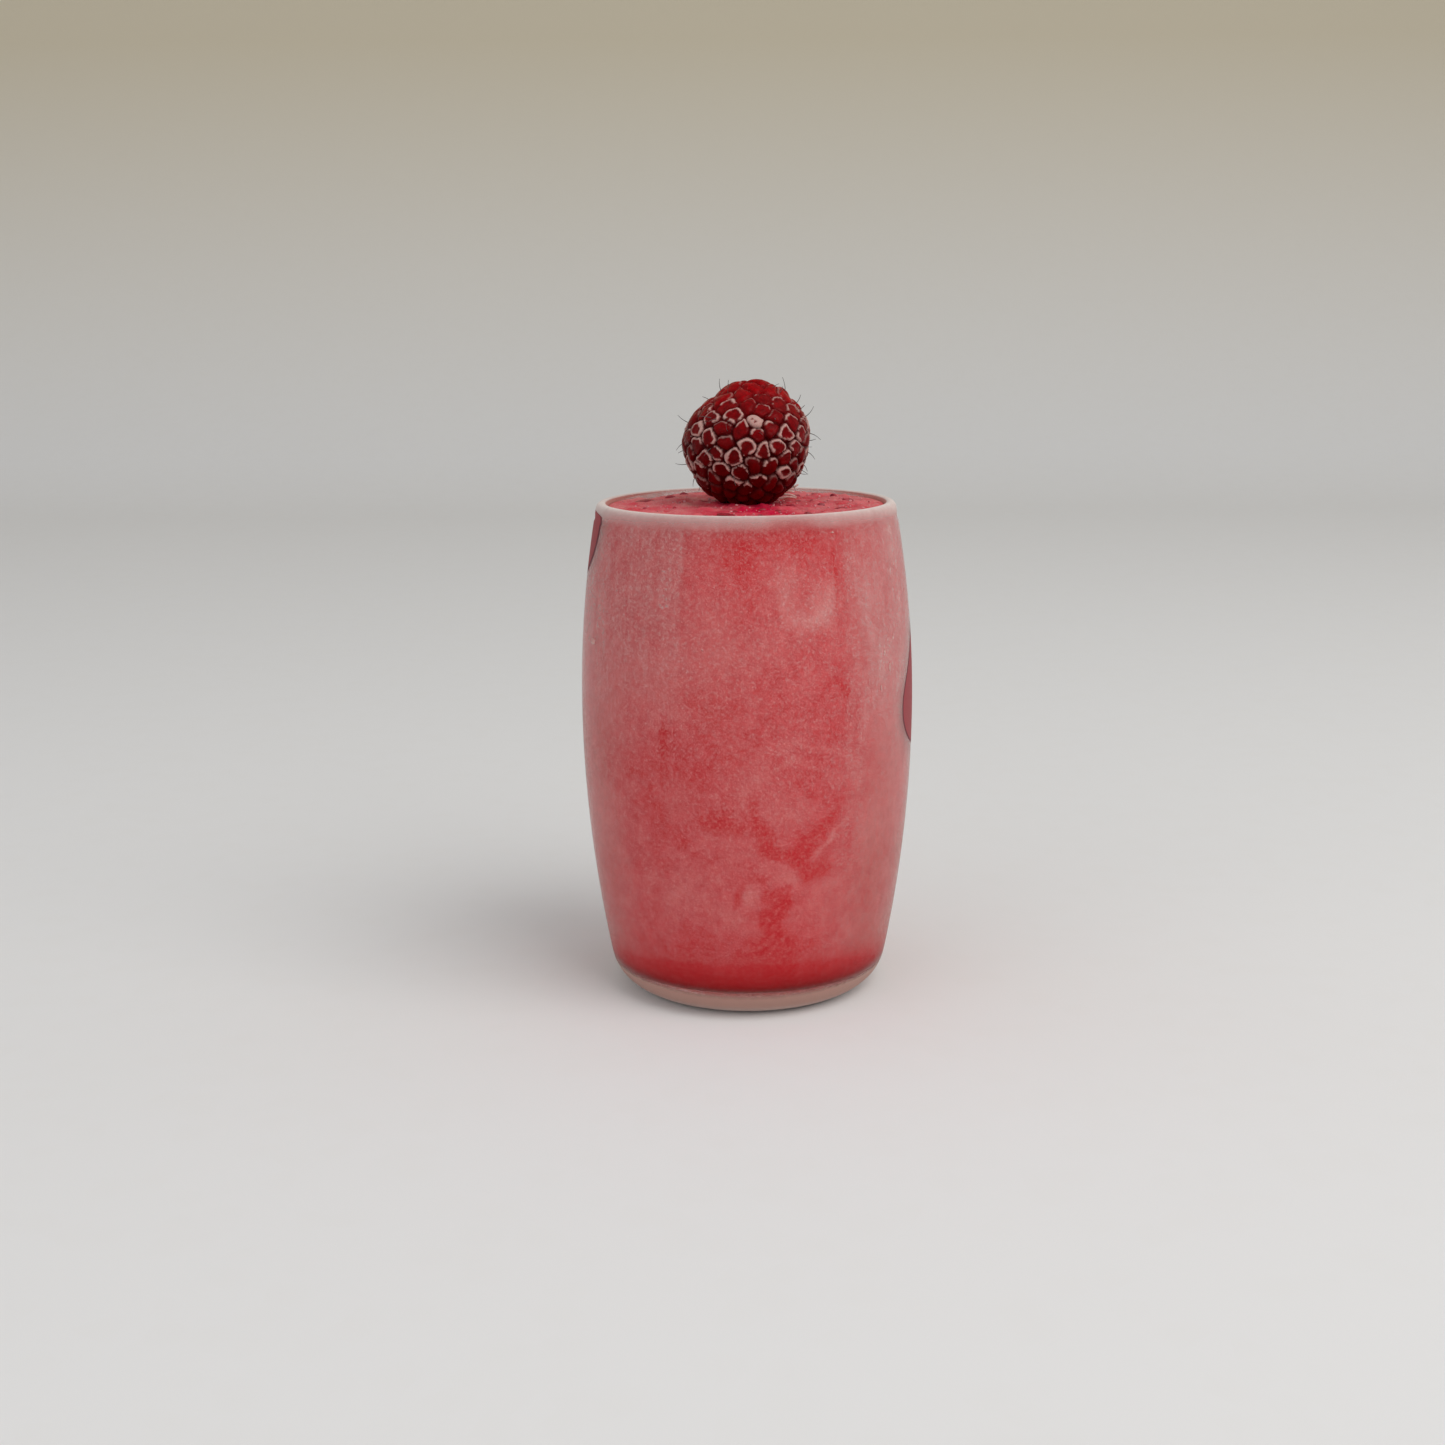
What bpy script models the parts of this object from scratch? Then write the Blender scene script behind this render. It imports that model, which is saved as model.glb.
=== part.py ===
"""Raspberry sorbet filled to the rim of a small barrel-shaped glass, with one frozen raspberry on it.

Metres, +Z up. The origin is the centre of the glass's flat base, on the surface that it stands on.
-Y is the front. The three pieces rest in one another and stay 0.3 mm apart.
"""

import math

import bmesh
import bpy
import numpy as np
from mathutils import Euler, Matrix, Vector, noise

MM = 0.001
GAP = 0.3 * MM
SHARP_ANGLE = math.radians(40)

# Glass: outside height, and the outside radius, which falls away from the belly by a square law
GLASS_HEIGHT = 83.5 * MM
BELLY_HEIGHT = 49.3 * MM
BELLY_RADIUS = 28.1 * MM
TAPER_ABOVE = 2.75
TAPER_BELOW = 2.29
WALL = 2.1 * MM
FLOOR = 4.55 * MM
FOOT_ROUND = 7.3 * MM
FLOOR_ROUND = 5.2 * MM
LIP_ROUND = 1.15 * MM
GROOVE_DROP = 2.5 * MM
GROOVE_DEPTH = 0.17 * MM
GROOVE_HALF_WIDTH = 0.6 * MM
AROUND = 64

# Sorbet: its level under the rim, the unevenness of its top, the mound that holds the raspberry, and
# the dip where it stops short of the rim
SORBET_LEVEL = 82.8 * MM
MOUND_RISE = 0.35 * MM
MOUND_RADIUS = 9.0 * MM
TOP_RELIEF = 0.45 * MM
TOP_LUMP_SIZE = 3.2 * MM
EDGE_ROUND = 0.5 * MM
DIP_PLACE = Vector((-16.6, 15.5)) * MM
DIP_SIZE = 4.5 * MM
DIP_DEPTH = 0.6 * MM

# Raspberry bits frozen into the sorbet's top: the large ones by x, y and length in mm, then the
# number of all bits, the small ones being scattered
LARGE_BITS = (
    (-10.6, 18.0, 1.9),
    (-13.0, 12.6, 2.2),
    (-16.6, -6.6, 1.0),
    (-17.2, 4.6, 3.8),
    (-2.9, -17.4, 4.0),
    (2.0, -17.6, 1.4),
    (5.0, -12.8, 1.6),
    (7.3, -5.6, 1.9),
    (9.7, -16.8, 1.6),
    (15.3, -9.0, 2.8),
    (12.4, -3.4, 1.6),
    (17.6, 3.6, 2.6),
    (15.3, 10.4, 1.5),
    (12.6, 14.8, 2.4),
)
BITS = 28
BIT_LENGTH = (0.9 * MM, 1.9 * MM)
BIT_HEIGHT = 0.42 * MM
BIT_SPACING = 2.4 * MM
BITS_FROM = 7.6 * MM
BITS_TO = 21.2 * MM
BITS_SEED = 11

# Raspberry: an egg of drupelets with sloping shoulders, its top a little to the right, and the
# shallow hollow of its core on top
BERRY_CENTRE = Vector((0.1, 0.5, 93.8)) * MM
BERRY_RADIUS = 10.8 * MM
BERRY_UP = 9.6 * MM
BERRY_DOWN = 11.7 * MM
SHOULDER_SLOPE = 0.07
TOP_LEAN = 0.12
DRUPELETS = 150
DRUPELET_SEED = 5
DRUPELET_JITTER = 0.045
DRUPELET_CROWDING = 0.20
CROWDED_SIDE = Vector((0.2, -0.5, -0.85)).normalized()
CREASE_DEPTH = 1.05 * MM
DOME_RING = 0.62
HOLLOW_SIDE = Vector((0.09, 0.27, 0.96)).normalized()
HOLLOW_ANGLE = math.radians(20.0)
HOLLOW_FADE = math.radians(9.0)
HOLLOW_DEPTH = 3.8 * MM
CROWN_RISE = 0.4 * MM


def clear_scene():
    for thing in list(bpy.data.objects):
        bpy.data.objects.remove(thing, do_unlink=True)


def new_material(name, colour, roughness, metallic=0.0, transmission=0.0):
    made = bpy.data.materials.new(name)
    made.use_nodes = True
    shader = made.node_tree.nodes["Principled BSDF"]
    shader.inputs["Base Color"].default_value = (*colour, 1.0)
    shader.inputs["Roughness"].default_value = roughness
    shader.inputs["Metallic"].default_value = metallic
    shader.inputs["Transmission Weight"].default_value = transmission
    return made


def shade_round(mesh):
    mesh.shade_smooth()
    mesh.set_sharp_from_angle(angle=SHARP_ANGLE)


def new_object(name, bm, material=None):
    """Turns a bmesh into an object shaded smooth across its soft edges."""
    bmesh.ops.recalc_face_normals(bm, faces=bm.faces)
    mesh = bpy.data.meshes.new(name)
    bm.to_mesh(mesh)
    bm.free()
    shade_round(mesh)
    made = bpy.data.objects.new(name, mesh)
    bpy.context.scene.collection.objects.link(made)
    if material:
        mesh.materials.append(material)
    return made


def turned(profile):
    """Spins (radius, height) points, which start and end on the axis, into a closed bmesh."""
    bm = bmesh.new()
    line = [bm.verts.new((radius, 0.0, height)) for radius, height in profile]
    edges = [bm.edges.new(pair) for pair in zip(line, line[1:])]
    bmesh.ops.spin(
        bm, geom=line + edges, cent=(0, 0, 0), axis=(0, 0, 1), angle=math.tau, steps=AROUND, use_merge=True
    )
    bmesh.ops.remove_doubles(bm, verts=bm.verts, dist=1e-7)
    return bm


def arc(centre, radii, start, end, steps):
    """Points on an ellipse's arc in the profile plane, with angles in degrees from +radius."""
    turns = [math.radians(start + (end - start) * i / steps) for i in range(steps + 1)]
    return [(centre[0] + radii[0] * math.cos(t), centre[1] + radii[1] * math.sin(t)) for t in turns]


def outer_radius(height):
    taper = TAPER_ABOVE if height > BELLY_HEIGHT else TAPER_BELOW
    return BELLY_RADIUS - taper * (height - BELLY_HEIGHT) ** 2


def grooved_radius(height):
    """The outside with the shallow groove that sets off the bead of the rim."""
    off = abs(height - (GLASS_HEIGHT - GROOVE_DROP)) / GROOVE_HALF_WIDTH
    dip = GROOVE_DEPTH * 0.5 * (1 + math.cos(math.pi * off)) if off < 1 else 0.0
    return outer_radius(height) - dip


def heights(low, high, count):
    return [low + (high - low) * i / count for i in range(count + 1)]


def corner(low, rounding, inset, steps):
    """The rounding from a flat bottom at the height low up to the side, which it meets without a kink.

    The side lies inset from the outside of the glass.
    """
    lean = 0.0
    for _ in range(8):
        meeting = low + rounding * (1 - math.sin(lean))
        lean = math.atan(2 * TAPER_BELOW * (BELLY_HEIGHT - meeting))
    centre = outer_radius(meeting) - inset - rounding * math.cos(lean)
    return arc((centre, low + rounding), (rounding, rounding), -90, -math.degrees(lean), steps)


def glass_profile():
    lip_base = GLASS_HEIGHT - LIP_ROUND
    groove = GLASS_HEIGHT - GROOVE_DROP
    lip_centre = outer_radius(lip_base) - WALL / 2

    foot = corner(0.0, FOOT_ROUND, 0.0, 5)
    outside = [(outer_radius(z), z) for z in heights(foot[-1][1], groove - GROOVE_HALF_WIDTH, 8)[1:]]
    bead = [(grooved_radius(z), z) for z in heights(groove, lip_base, 2)]
    lip = arc((lip_centre, lip_base), (WALL / 2, LIP_ROUND), 0, 180, 6)[1:]
    inner_corner = corner(FLOOR, FLOOR_ROUND, WALL, 4)[::-1]
    inside = [(outer_radius(z) - WALL, z) for z in heights(lip_base, inner_corner[0][1], 7)[1:-1]]
    return [(0, 0), *foot, *outside, *bead, *lip, *inside, *inner_corner, (0, FLOOR)]


def build_glass():
    material = new_material("frosted_glass", (0.86, 0.80, 0.79), 0.45, transmission=0.6)
    return new_object("glass", turned(glass_profile()), material)


def egg_radius(direction):
    """How far the crests of the drupelets lie from the raspberry's centre, along a unit vector."""
    pole = BERRY_UP if direction.z > 0 else BERRY_DOWN
    across = direction.x**2 + direction.y**2
    slope = SHOULDER_SLOPE * 4 * across * direction.z**2 if direction.z > 0 else 0.0
    return (1 - slope) / math.sqrt(across / BERRY_RADIUS**2 + (direction.z / pole) ** 2)


def underside(x, y):
    """The height of the raspberry's lower crests above a point, or infinity outside its girth."""
    off = math.hypot(x - BERRY_CENTRE.x, y - BERRY_CENTRE.y) / BERRY_RADIUS
    return BERRY_CENTRE.z - BERRY_DOWN * math.sqrt(1 - off * off) if off < 1 else math.inf


def sorbet_top(x, y, edge):
    """The sorbet's uneven top, which rounds down at its edge and dips under the raspberry."""
    radius = math.hypot(x, y)
    mound = MOUND_RISE * math.exp(-((radius / MOUND_RADIUS) ** 2))
    spot = Vector((x, y, 0)) / TOP_LUMP_SIZE
    relief = TOP_RELIEF * (noise.noise(spot) + 0.5 * noise.noise(spot * 2.3 + Vector((7, 3, 1))))
    calm = min(1.0, (edge - radius) / (3 * EDGE_ROUND))
    return min(SORBET_LEVEL + mound + relief * calm, underside(x, y) - GAP)


def dip(x, y):
    """How much lower the sorbet lies at a point near the dip beside the rim."""
    return DIP_DEPTH * math.exp(-(((Vector((x, y)) - DIP_PLACE).length / DIP_SIZE) ** 2))


def sorbet_profile(edge):
    low = FLOOR + GAP
    foot = corner(low, FLOOR_ROUND - GAP, WALL + GAP, 4)
    shoulder = SORBET_LEVEL - EDGE_ROUND
    side = [(outer_radius(z) - WALL - GAP, z) for z in heights(foot[-1][1], shoulder, 7)[1:]]
    rounding = arc((edge - EDGE_ROUND, shoulder), (EDGE_ROUND, EDGE_ROUND), 0, 90, 2)[1:]
    rings = [((edge - EDGE_ROUND) * (1 - i / 8), SORBET_LEVEL) for i in range(1, 9)]
    return [(0, low), *foot, *side, *rounding, *rings]


def bit_places():
    """The (x, y), length and turn of each bit: the large ones, then others no nearer than BIT_SPACING."""
    draw = np.random.default_rng(BITS_SEED)
    bits = [(Vector((x, y)) * MM, length * MM, draw.uniform(-0.4, 0.4)) for x, y, length in LARGE_BITS]
    while len(bits) < BITS:
        radius = math.sqrt(draw.uniform(BITS_FROM**2, BITS_TO**2))
        angle = draw.uniform(0, math.tau)
        spot = Vector((radius * math.cos(angle), radius * math.sin(angle)))
        if all((spot - other).length > BIT_SPACING for other, _, _ in bits):
            bits.append((spot, draw.uniform(*BIT_LENGTH), draw.uniform(0, math.tau)))
    return bits


def build_bits(collection, edge):
    """Small angular lumps, flatter than they are wide, half sunk in the sorbet's top."""
    draw = np.random.default_rng(BITS_SEED + 1)
    for index, (spot, length, heading) in enumerate(bit_places()):
        half = length / 2
        size = Vector((half, half * draw.uniform(0.45, 0.8), BIT_HEIGHT * draw.uniform(0.8, 1.25)))
        turn = Euler((draw.uniform(-0.2, 0.2), draw.uniform(-0.2, 0.2), heading))
        height = sorbet_top(spot.x, spot.y, edge) - dip(spot.x, spot.y)
        place = Vector((spot.x, spot.y, height))
        bm = bmesh.new()
        bmesh.ops.create_icosphere(bm, subdivisions=1, radius=1.0)
        for vert in bm.verts:
            vert.co = vert.co * draw.uniform(0.8, 1.1)
        bm.transform(Matrix.LocRotScale(place, turn, size))
        bit = new_object(f"bit_{index:02d}", bm)
        bpy.context.scene.collection.objects.unlink(bit)
        collection.objects.link(bit)


def join_collection(target, collection):
    """Unites the collection's objects with the target, then removes them."""
    union = target.modifiers.new("union", "BOOLEAN")
    union.operation = "UNION"
    union.operand_type = "COLLECTION"
    union.collection = collection
    graph = bpy.context.evaluated_depsgraph_get()
    joined = bpy.data.meshes.new_from_object(target.evaluated_get(graph), depsgraph=graph)
    target.modifiers.clear()
    target.data = joined
    shade_round(joined)
    for thing in list(collection.objects):
        bpy.data.objects.remove(thing, do_unlink=True)
    bpy.data.collections.remove(collection)


def build_sorbet():
    material = new_material("raspberry_sorbet", (0.62, 0.13, 0.16), 0.6)
    edge = outer_radius(SORBET_LEVEL - EDGE_ROUND) - WALL - GAP
    bm = turned(sorbet_profile(edge))
    for vert in bm.verts:
        if vert.co.z > SORBET_LEVEL - 0.1 * EDGE_ROUND:
            vert.co.z = sorbet_top(vert.co.x, vert.co.y, edge)
        if vert.co.z > SORBET_LEVEL - 2 * EDGE_ROUND:
            vert.co.z -= dip(vert.co.x, vert.co.y)
    sorbet = new_object("sorbet", bm, material)
    bits = bpy.data.collections.new("bits")
    bpy.context.scene.collection.children.link(bits)
    build_bits(bits, edge)
    join_collection(sorbet, bits)
    return sorbet


def drupelet_directions():
    """Unit vectors to the drupelets: a jittered golden spiral, closer together on the crowded side."""
    draw = np.random.default_rng(DRUPELET_SEED)
    golden = math.pi * (3 - math.sqrt(5))
    found = []
    for index in range(DRUPELETS):
        level = 1 - (2 * index + 1) / DRUPELETS
        flat = math.sqrt(1 - level * level)
        even = Vector((flat * math.cos(golden * index), flat * math.sin(golden * index), level))
        moved = even + Vector(draw.normal(0, DRUPELET_JITTER, 3))
        moved = moved.normalized() + DRUPELET_CROWDING * CROWDED_SIDE
        found.append(moved.normalized())
    return found


def berry_point(direction, dome):
    """A point of the raspberry's skin: dome is 0 in a crease and 1 on a drupelet's crest."""
    off = direction.angle(HOLLOW_SIDE)
    inside = min(1.0, max(0.0, (HOLLOW_ANGLE - off) / HOLLOW_FADE + 0.5))
    inside = inside * inside * (3 - 2 * inside)
    crown = CROWN_RISE * math.exp(-(((off - HOLLOW_ANGLE - HOLLOW_FADE) / HOLLOW_FADE) ** 2))
    crease = CREASE_DEPTH * (1 - dome) * (1 - 0.7 * inside)
    point = direction * (egg_radius(direction) + crown - crease - HOLLOW_DEPTH * inside)
    point.x += TOP_LEAN * max(0.0, point.z)
    return BERRY_CENTRE + point


def build_raspberry():
    """One rounded cell for each drupelet: a crest, a ring round it, and creases between the cells."""
    hull = bmesh.new()
    for way in drupelet_directions():
        hull.verts.new(way)
    bmesh.ops.convex_hull(hull, input=hull.verts)
    hull.normal_update()
    hull.verts.index_update()
    hull.edges.index_update()
    hull.faces.index_update()

    bm = bmesh.new()
    made = {}

    def point(key, direction, dome):
        if key not in made:
            made[key] = bm.verts.new(berry_point(direction.normalized(), dome))
        return made[key]

    ring_dome = math.sqrt(1 - DOME_RING**2)
    for face in hull.faces:
        outward = face.normal * math.copysign(1, face.normal.dot(face.verts[0].co))
        corner = point(("corner", face.index), outward, 0.0)
        for loop in face.loops:
            edge = loop.edge
            between = sum((side.normal for side in edge.link_faces), Vector()).normalized()
            middle = point(("middle", edge.index), between, 0.0)
            for seed in edge.verts:
                crest = point(("crest", seed.index), seed.co, 1.0)
                near_middle = seed.co.lerp(between, DOME_RING)
                near_corner = seed.co.lerp(outward, DOME_RING)
                ring_middle = point(("ring", seed.index, "edge", edge.index), near_middle, ring_dome)
                ring_corner = point(("ring", seed.index, "face", face.index), near_corner, ring_dome)
                bm.faces.new((crest, ring_middle, ring_corner))
                bm.faces.new((ring_middle, middle, corner))
                bm.faces.new((ring_middle, corner, ring_corner))
    hull.free()
    return new_object("raspberry", bm, new_material("raspberry_skin", (0.30, 0.012, 0.022), 0.45))


clear_scene()
build_glass()
build_sorbet()
build_raspberry()
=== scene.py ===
"""Looks of the raspberry sorbet: frosted glass, mottled icy filling and a frozen raspberry.

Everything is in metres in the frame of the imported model: +Z up, -Y to the front, and the origin at the
centre of the glass's base. Angles round the glass start at the front and grow towards +X.
"""

import logging
import math
from dataclasses import dataclass, field
from enum import Enum
from itertools import product
from typing import Sequence

import bmesh
import bpy
import numpy as np
from mathutils import Euler, Matrix, Vector, noise


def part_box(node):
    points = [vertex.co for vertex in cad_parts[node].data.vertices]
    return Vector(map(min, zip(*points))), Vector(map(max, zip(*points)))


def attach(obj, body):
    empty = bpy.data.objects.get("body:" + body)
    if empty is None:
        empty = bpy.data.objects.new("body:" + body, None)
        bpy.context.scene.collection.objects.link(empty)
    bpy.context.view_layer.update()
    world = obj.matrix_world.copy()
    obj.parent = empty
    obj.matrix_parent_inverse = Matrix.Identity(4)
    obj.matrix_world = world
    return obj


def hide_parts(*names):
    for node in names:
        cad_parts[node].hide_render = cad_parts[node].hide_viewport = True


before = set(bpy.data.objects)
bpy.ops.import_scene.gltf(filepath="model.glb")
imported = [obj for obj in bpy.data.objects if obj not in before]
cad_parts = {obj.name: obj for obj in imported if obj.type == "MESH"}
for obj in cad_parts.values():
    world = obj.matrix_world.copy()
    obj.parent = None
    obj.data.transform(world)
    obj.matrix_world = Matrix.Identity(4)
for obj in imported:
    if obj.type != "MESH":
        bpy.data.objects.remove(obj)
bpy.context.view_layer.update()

MM = 0.001
BODY = "root"
LOG = logging.getLogger("raspberry_sorbet")

Colour = tuple[float, float, float]
Fields = dict[str, np.ndarray]
Profile = list[tuple[float, float]]
Span = tuple[float, float]


class Drupelet(Enum):
    """How a drupelet of the raspberry is frosted."""

    RING = "a pale ring with a sunken middle"
    FILLED = "pale nearly all over"
    CLEAN = "a dark bare dome"
    ARC = "a pale arc along its upper edge"


class SmoothNoise:
    """Repeatable smooth noise in space, from -1 to 1, on a seeded lattice."""

    def __init__(self, seed: int, size: int = 32) -> None:
        """Draws the lattice.

        Args:
            seed: seed of the random draw.
            size: points along each side of the lattice, after which it repeats.
        """
        self.size = size
        self.lattice = np.random.default_rng(seed).uniform(-1, 1, (size, size, size))

    def at(self, points: np.ndarray, cell: float | Sequence[float]) -> np.ndarray:
        """Reads the noise.

        Args:
            points: rows of x, y, z.
            cell: size of one lattice cell, or its size along each axis.

        Returns:
            One value for each point.
        """
        scaled = points / np.asarray(cell, float)
        low = np.floor(scaled).astype(int)
        part = scaled - low
        part = part * part * (3 - 2 * part)
        total = np.zeros(len(points))
        for corner in product((0, 1), repeat=3):
            weight = np.where(np.array(corner) == 1, part, 1 - part).prod(axis=1)
            x, y, z = ((low + corner) % self.size).T
            total += weight * self.lattice[x, y, z]
        return total

    def layered(self, points: np.ndarray, cell: float, octaves: int = 3, gain: float = 0.5) -> np.ndarray:
        """Adds up finer and weaker noise, kept near -1 to 1.

        Args:
            points: rows of x, y, z.
            cell: size of the coarsest cell.
            octaves: how many layers.
            gain: strength of each layer against the one before.

        Returns:
            One value for each point.
        """
        total = np.zeros(len(points))
        for octave in range(octaves):
            shifted = points + octave * 0.37
            total += gain**octave * self.at(shifted, cell / 2**octave)
        return total


def smooth_step(low: float, high: float, values: np.ndarray) -> np.ndarray:
    """A soft ramp from 0 at low to 1 at high, which may run downwards too."""
    share = np.clip((values - low) / (high - low), 0, 1)
    return share * share * (3 - 2 * share)


def between(values: np.ndarray, rise: Span, fall: Span) -> np.ndarray:
    """1 between two smooth steps, one up over rise and one down over fall, and 0 outside them."""
    return smooth_step(*rise, values) * (1 - smooth_step(*fall, values))


def patch(points: np.ndarray, place: Span, half: Span) -> np.ndarray:
    """How far points lie in a soft patch seen from above.

    Args:
        points: rows of x, y, z.
        place: x and y of its middle, in millimetres.
        half: its half-sizes along x and y, in millimetres.

    Returns:
        1 well inside the patch and 0 well outside it.
    """
    across = (points[:, 0] - place[0] * MM) / (half[0] * MM)
    along = (points[:, 1] - place[1] * MM) / (half[1] * MM)
    return np.exp(-(across**4) - along**4)


def wrapped(angles: np.ndarray, middle: float) -> np.ndarray:
    """Angles in degrees counted from a middle, from -180 to 180."""
    return (angles - middle + 180) % 360 - 180


@dataclass(frozen=True)
class Mark:
    """A soft oval on the upright wall, stronger at its middle.

    turn and lean are in degrees: turn round the glass from the front, lean of the long side from upright.
    Heights and sizes are in millimetres, as in Swirl and Smear.
    """

    turn: float
    height: float
    half_width: float
    half_height: float
    strength: float
    lean: float = 0.0
    crispness: float = 2.0

    def on(self, turns: np.ndarray, heights: np.ndarray, radius: float) -> np.ndarray:
        """Strength of the mark.

        Args:
            turns: angles of the points in degrees.
            heights: heights of the points in millimetres.
            radius: the wall's radius in millimetres, which turns an angle into a length.

        Returns:
            The mark's strength at each point.
        """
        across = np.radians(wrapped(turns, self.turn)) * radius
        up = heights - self.height
        lean = math.radians(self.lean)
        along = across * math.cos(lean) - up * math.sin(lean)
        rise = across * math.sin(lean) + up * math.cos(lean)
        away = (along / self.half_width) ** 2 + (rise / self.half_height) ** 2
        return self.strength * np.exp(-(away ** (self.crispness / 2)))


@dataclass(frozen=True)
class Swirl:
    """A soft band along part of an ellipse on the upright wall.

    turn, start and end are in degrees, the last two round the ellipse from its right-hand side.
    """

    turn: float
    height: float
    half_width: float
    half_height: float
    start: float
    end: float
    thickness: float
    strength: float

    def on(self, turns: np.ndarray, heights: np.ndarray, radius: float) -> np.ndarray:
        """Strength of the band.

        Args:
            turns: angles of the points in degrees.
            heights: heights of the points in millimetres.
            radius: the wall's radius in millimetres.

        Returns:
            The band's strength at each point.
        """
        across = np.radians(wrapped(turns, self.turn)) * radius / self.half_width
        up = (heights - self.height) / self.half_height
        away = (np.hypot(across, up) - 1) * min(self.half_width, self.half_height) / self.thickness
        angle = np.degrees(np.arctan2(up, across))
        middle = (self.start + self.end) / 2
        off = np.abs(wrapped(angle, middle)) / (abs(self.end - self.start) / 2)
        return self.strength * np.exp(-(away**2)) * (1 - smooth_step(0.7, 1.1, off))


@dataclass(frozen=True)
class Smear:
    """An area of the upright wall between two angles and two heights, with its own softness at each side.

    left, right, left_soft and right_soft are in degrees. Under the height slant_from, both sides move by
    slant degrees for each millimetre further down.
    """

    left: float
    right: float
    low: float
    high: float
    strength: float
    left_soft: float = 6.0
    right_soft: float = 6.0
    end_soft: float = 6.0
    slant_from: float = 0.0
    slant: float = 0.0

    def on(self, turns: np.ndarray, heights: np.ndarray, radius: float) -> np.ndarray:
        """Strength of the smear.

        Args:
            turns: angles of the points in degrees.
            heights: heights of the points in millimetres.
            radius: the wall's radius in millimetres, which a smear has no use for.

        Returns:
            The smear's strength at each point.
        """
        shift = self.slant * np.maximum(0.0, self.slant_from - heights)
        middle = (self.left + self.right) / 2
        across = wrapped(turns - shift, middle) + middle
        side = smooth_step(self.left - self.left_soft, self.left + self.left_soft, across)
        side *= 1 - smooth_step(self.right - self.right_soft, self.right + self.right_soft, across)
        ends = smooth_step(self.low - self.end_soft, self.low + self.end_soft, heights)
        ends *= 1 - smooth_step(self.high - self.end_soft, self.high + self.end_soft, heights)
        return self.strength * side * ends


def mesh_object(
    name: str, points: np.ndarray, faces: Sequence[Sequence[int]], fields: Fields | None = None
) -> bpy.types.Object:
    """Makes a smooth-shaded mesh with values on its points.

    Args:
        name: the piece's name.
        points: rows of x, y, z.
        faces: point numbers of each face.
        fields: values for each point, by attribute name.

    Returns:
        The object, linked to the scene.
    """
    mesh = bpy.data.meshes.new(name)
    mesh.from_pydata(points.tolist(), [], [tuple(face) for face in faces])
    for key, values in (fields or {}).items():
        layer = mesh.attributes.new(key, "FLOAT", "POINT")
        layer.data.foreach_set("value", np.asarray(values, np.float32))
    mesh.shade_smooth()
    made = bpy.data.objects.new(name, mesh)
    bpy.context.scene.collection.objects.link(made)
    return made


class TurnedGrid:
    """A closed or open surface of rings round the Z axis, whose points can then be moved."""

    def __init__(self, profile: Sequence[tuple[float, float]], columns: int) -> None:
        """Lays out the rings.

        Args:
            profile: (radius, height) from the lower outside to the end. A radius of 0 is a pole.
            columns: points round each ring.
        """
        self.columns = columns
        self.profile = [tuple(point) for point in profile]
        self.turns = np.arange(columns) * math.tau / columns
        self.rows = np.arange(len(self.profile)).repeat(columns)
        radii = np.array([point[0] for point in self.profile])[self.rows]
        heights = np.array([point[1] for point in self.profile])[self.rows]
        turns = np.tile(self.turns, len(self.profile))
        self.points = np.stack([radii * np.sin(turns), -radii * np.cos(turns), heights], axis=1)

    def faces(self) -> list[tuple[int, ...]]:
        """Quads between the rings, and triangles where a ring is a pole.

        Returns:
            Point numbers of each face.
        """
        found: list[tuple[int, ...]] = []
        for row in range(len(self.profile) - 1):
            low_pole = self.profile[row][0] == 0
            high_pole = self.profile[row + 1][0] == 0
            for column in range(self.columns):
                beside = (column + 1) % self.columns
                a, b = row * self.columns + column, row * self.columns + beside
                c, d = b + self.columns, a + self.columns
                if low_pole:
                    found.append((row * self.columns, c, d))
                elif high_pole:
                    found.append((a, b, (row + 1) * self.columns))
                else:
                    found.append((a, b, c, d))
        return found

    def build(self, name: str, fields: Fields | None = None) -> bpy.types.Object:
        """Makes the object, with the unused copies of each pole left out.

        Args:
            name: the piece's name.
            fields: values for each point of the grid, by attribute name.

        Returns:
            The object.
        """
        faces = self.faces()
        used = np.unique(np.concatenate([np.array(face) for face in faces]))
        number = np.full(len(self.points), -1)
        number[used] = np.arange(len(used))
        kept = {key: values[used] for key, values in (fields or {}).items()}
        renumbered = [tuple(int(number[corner]) for corner in face) for face in faces]
        return mesh_object(name, self.points[used], renumbered, kept)


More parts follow.
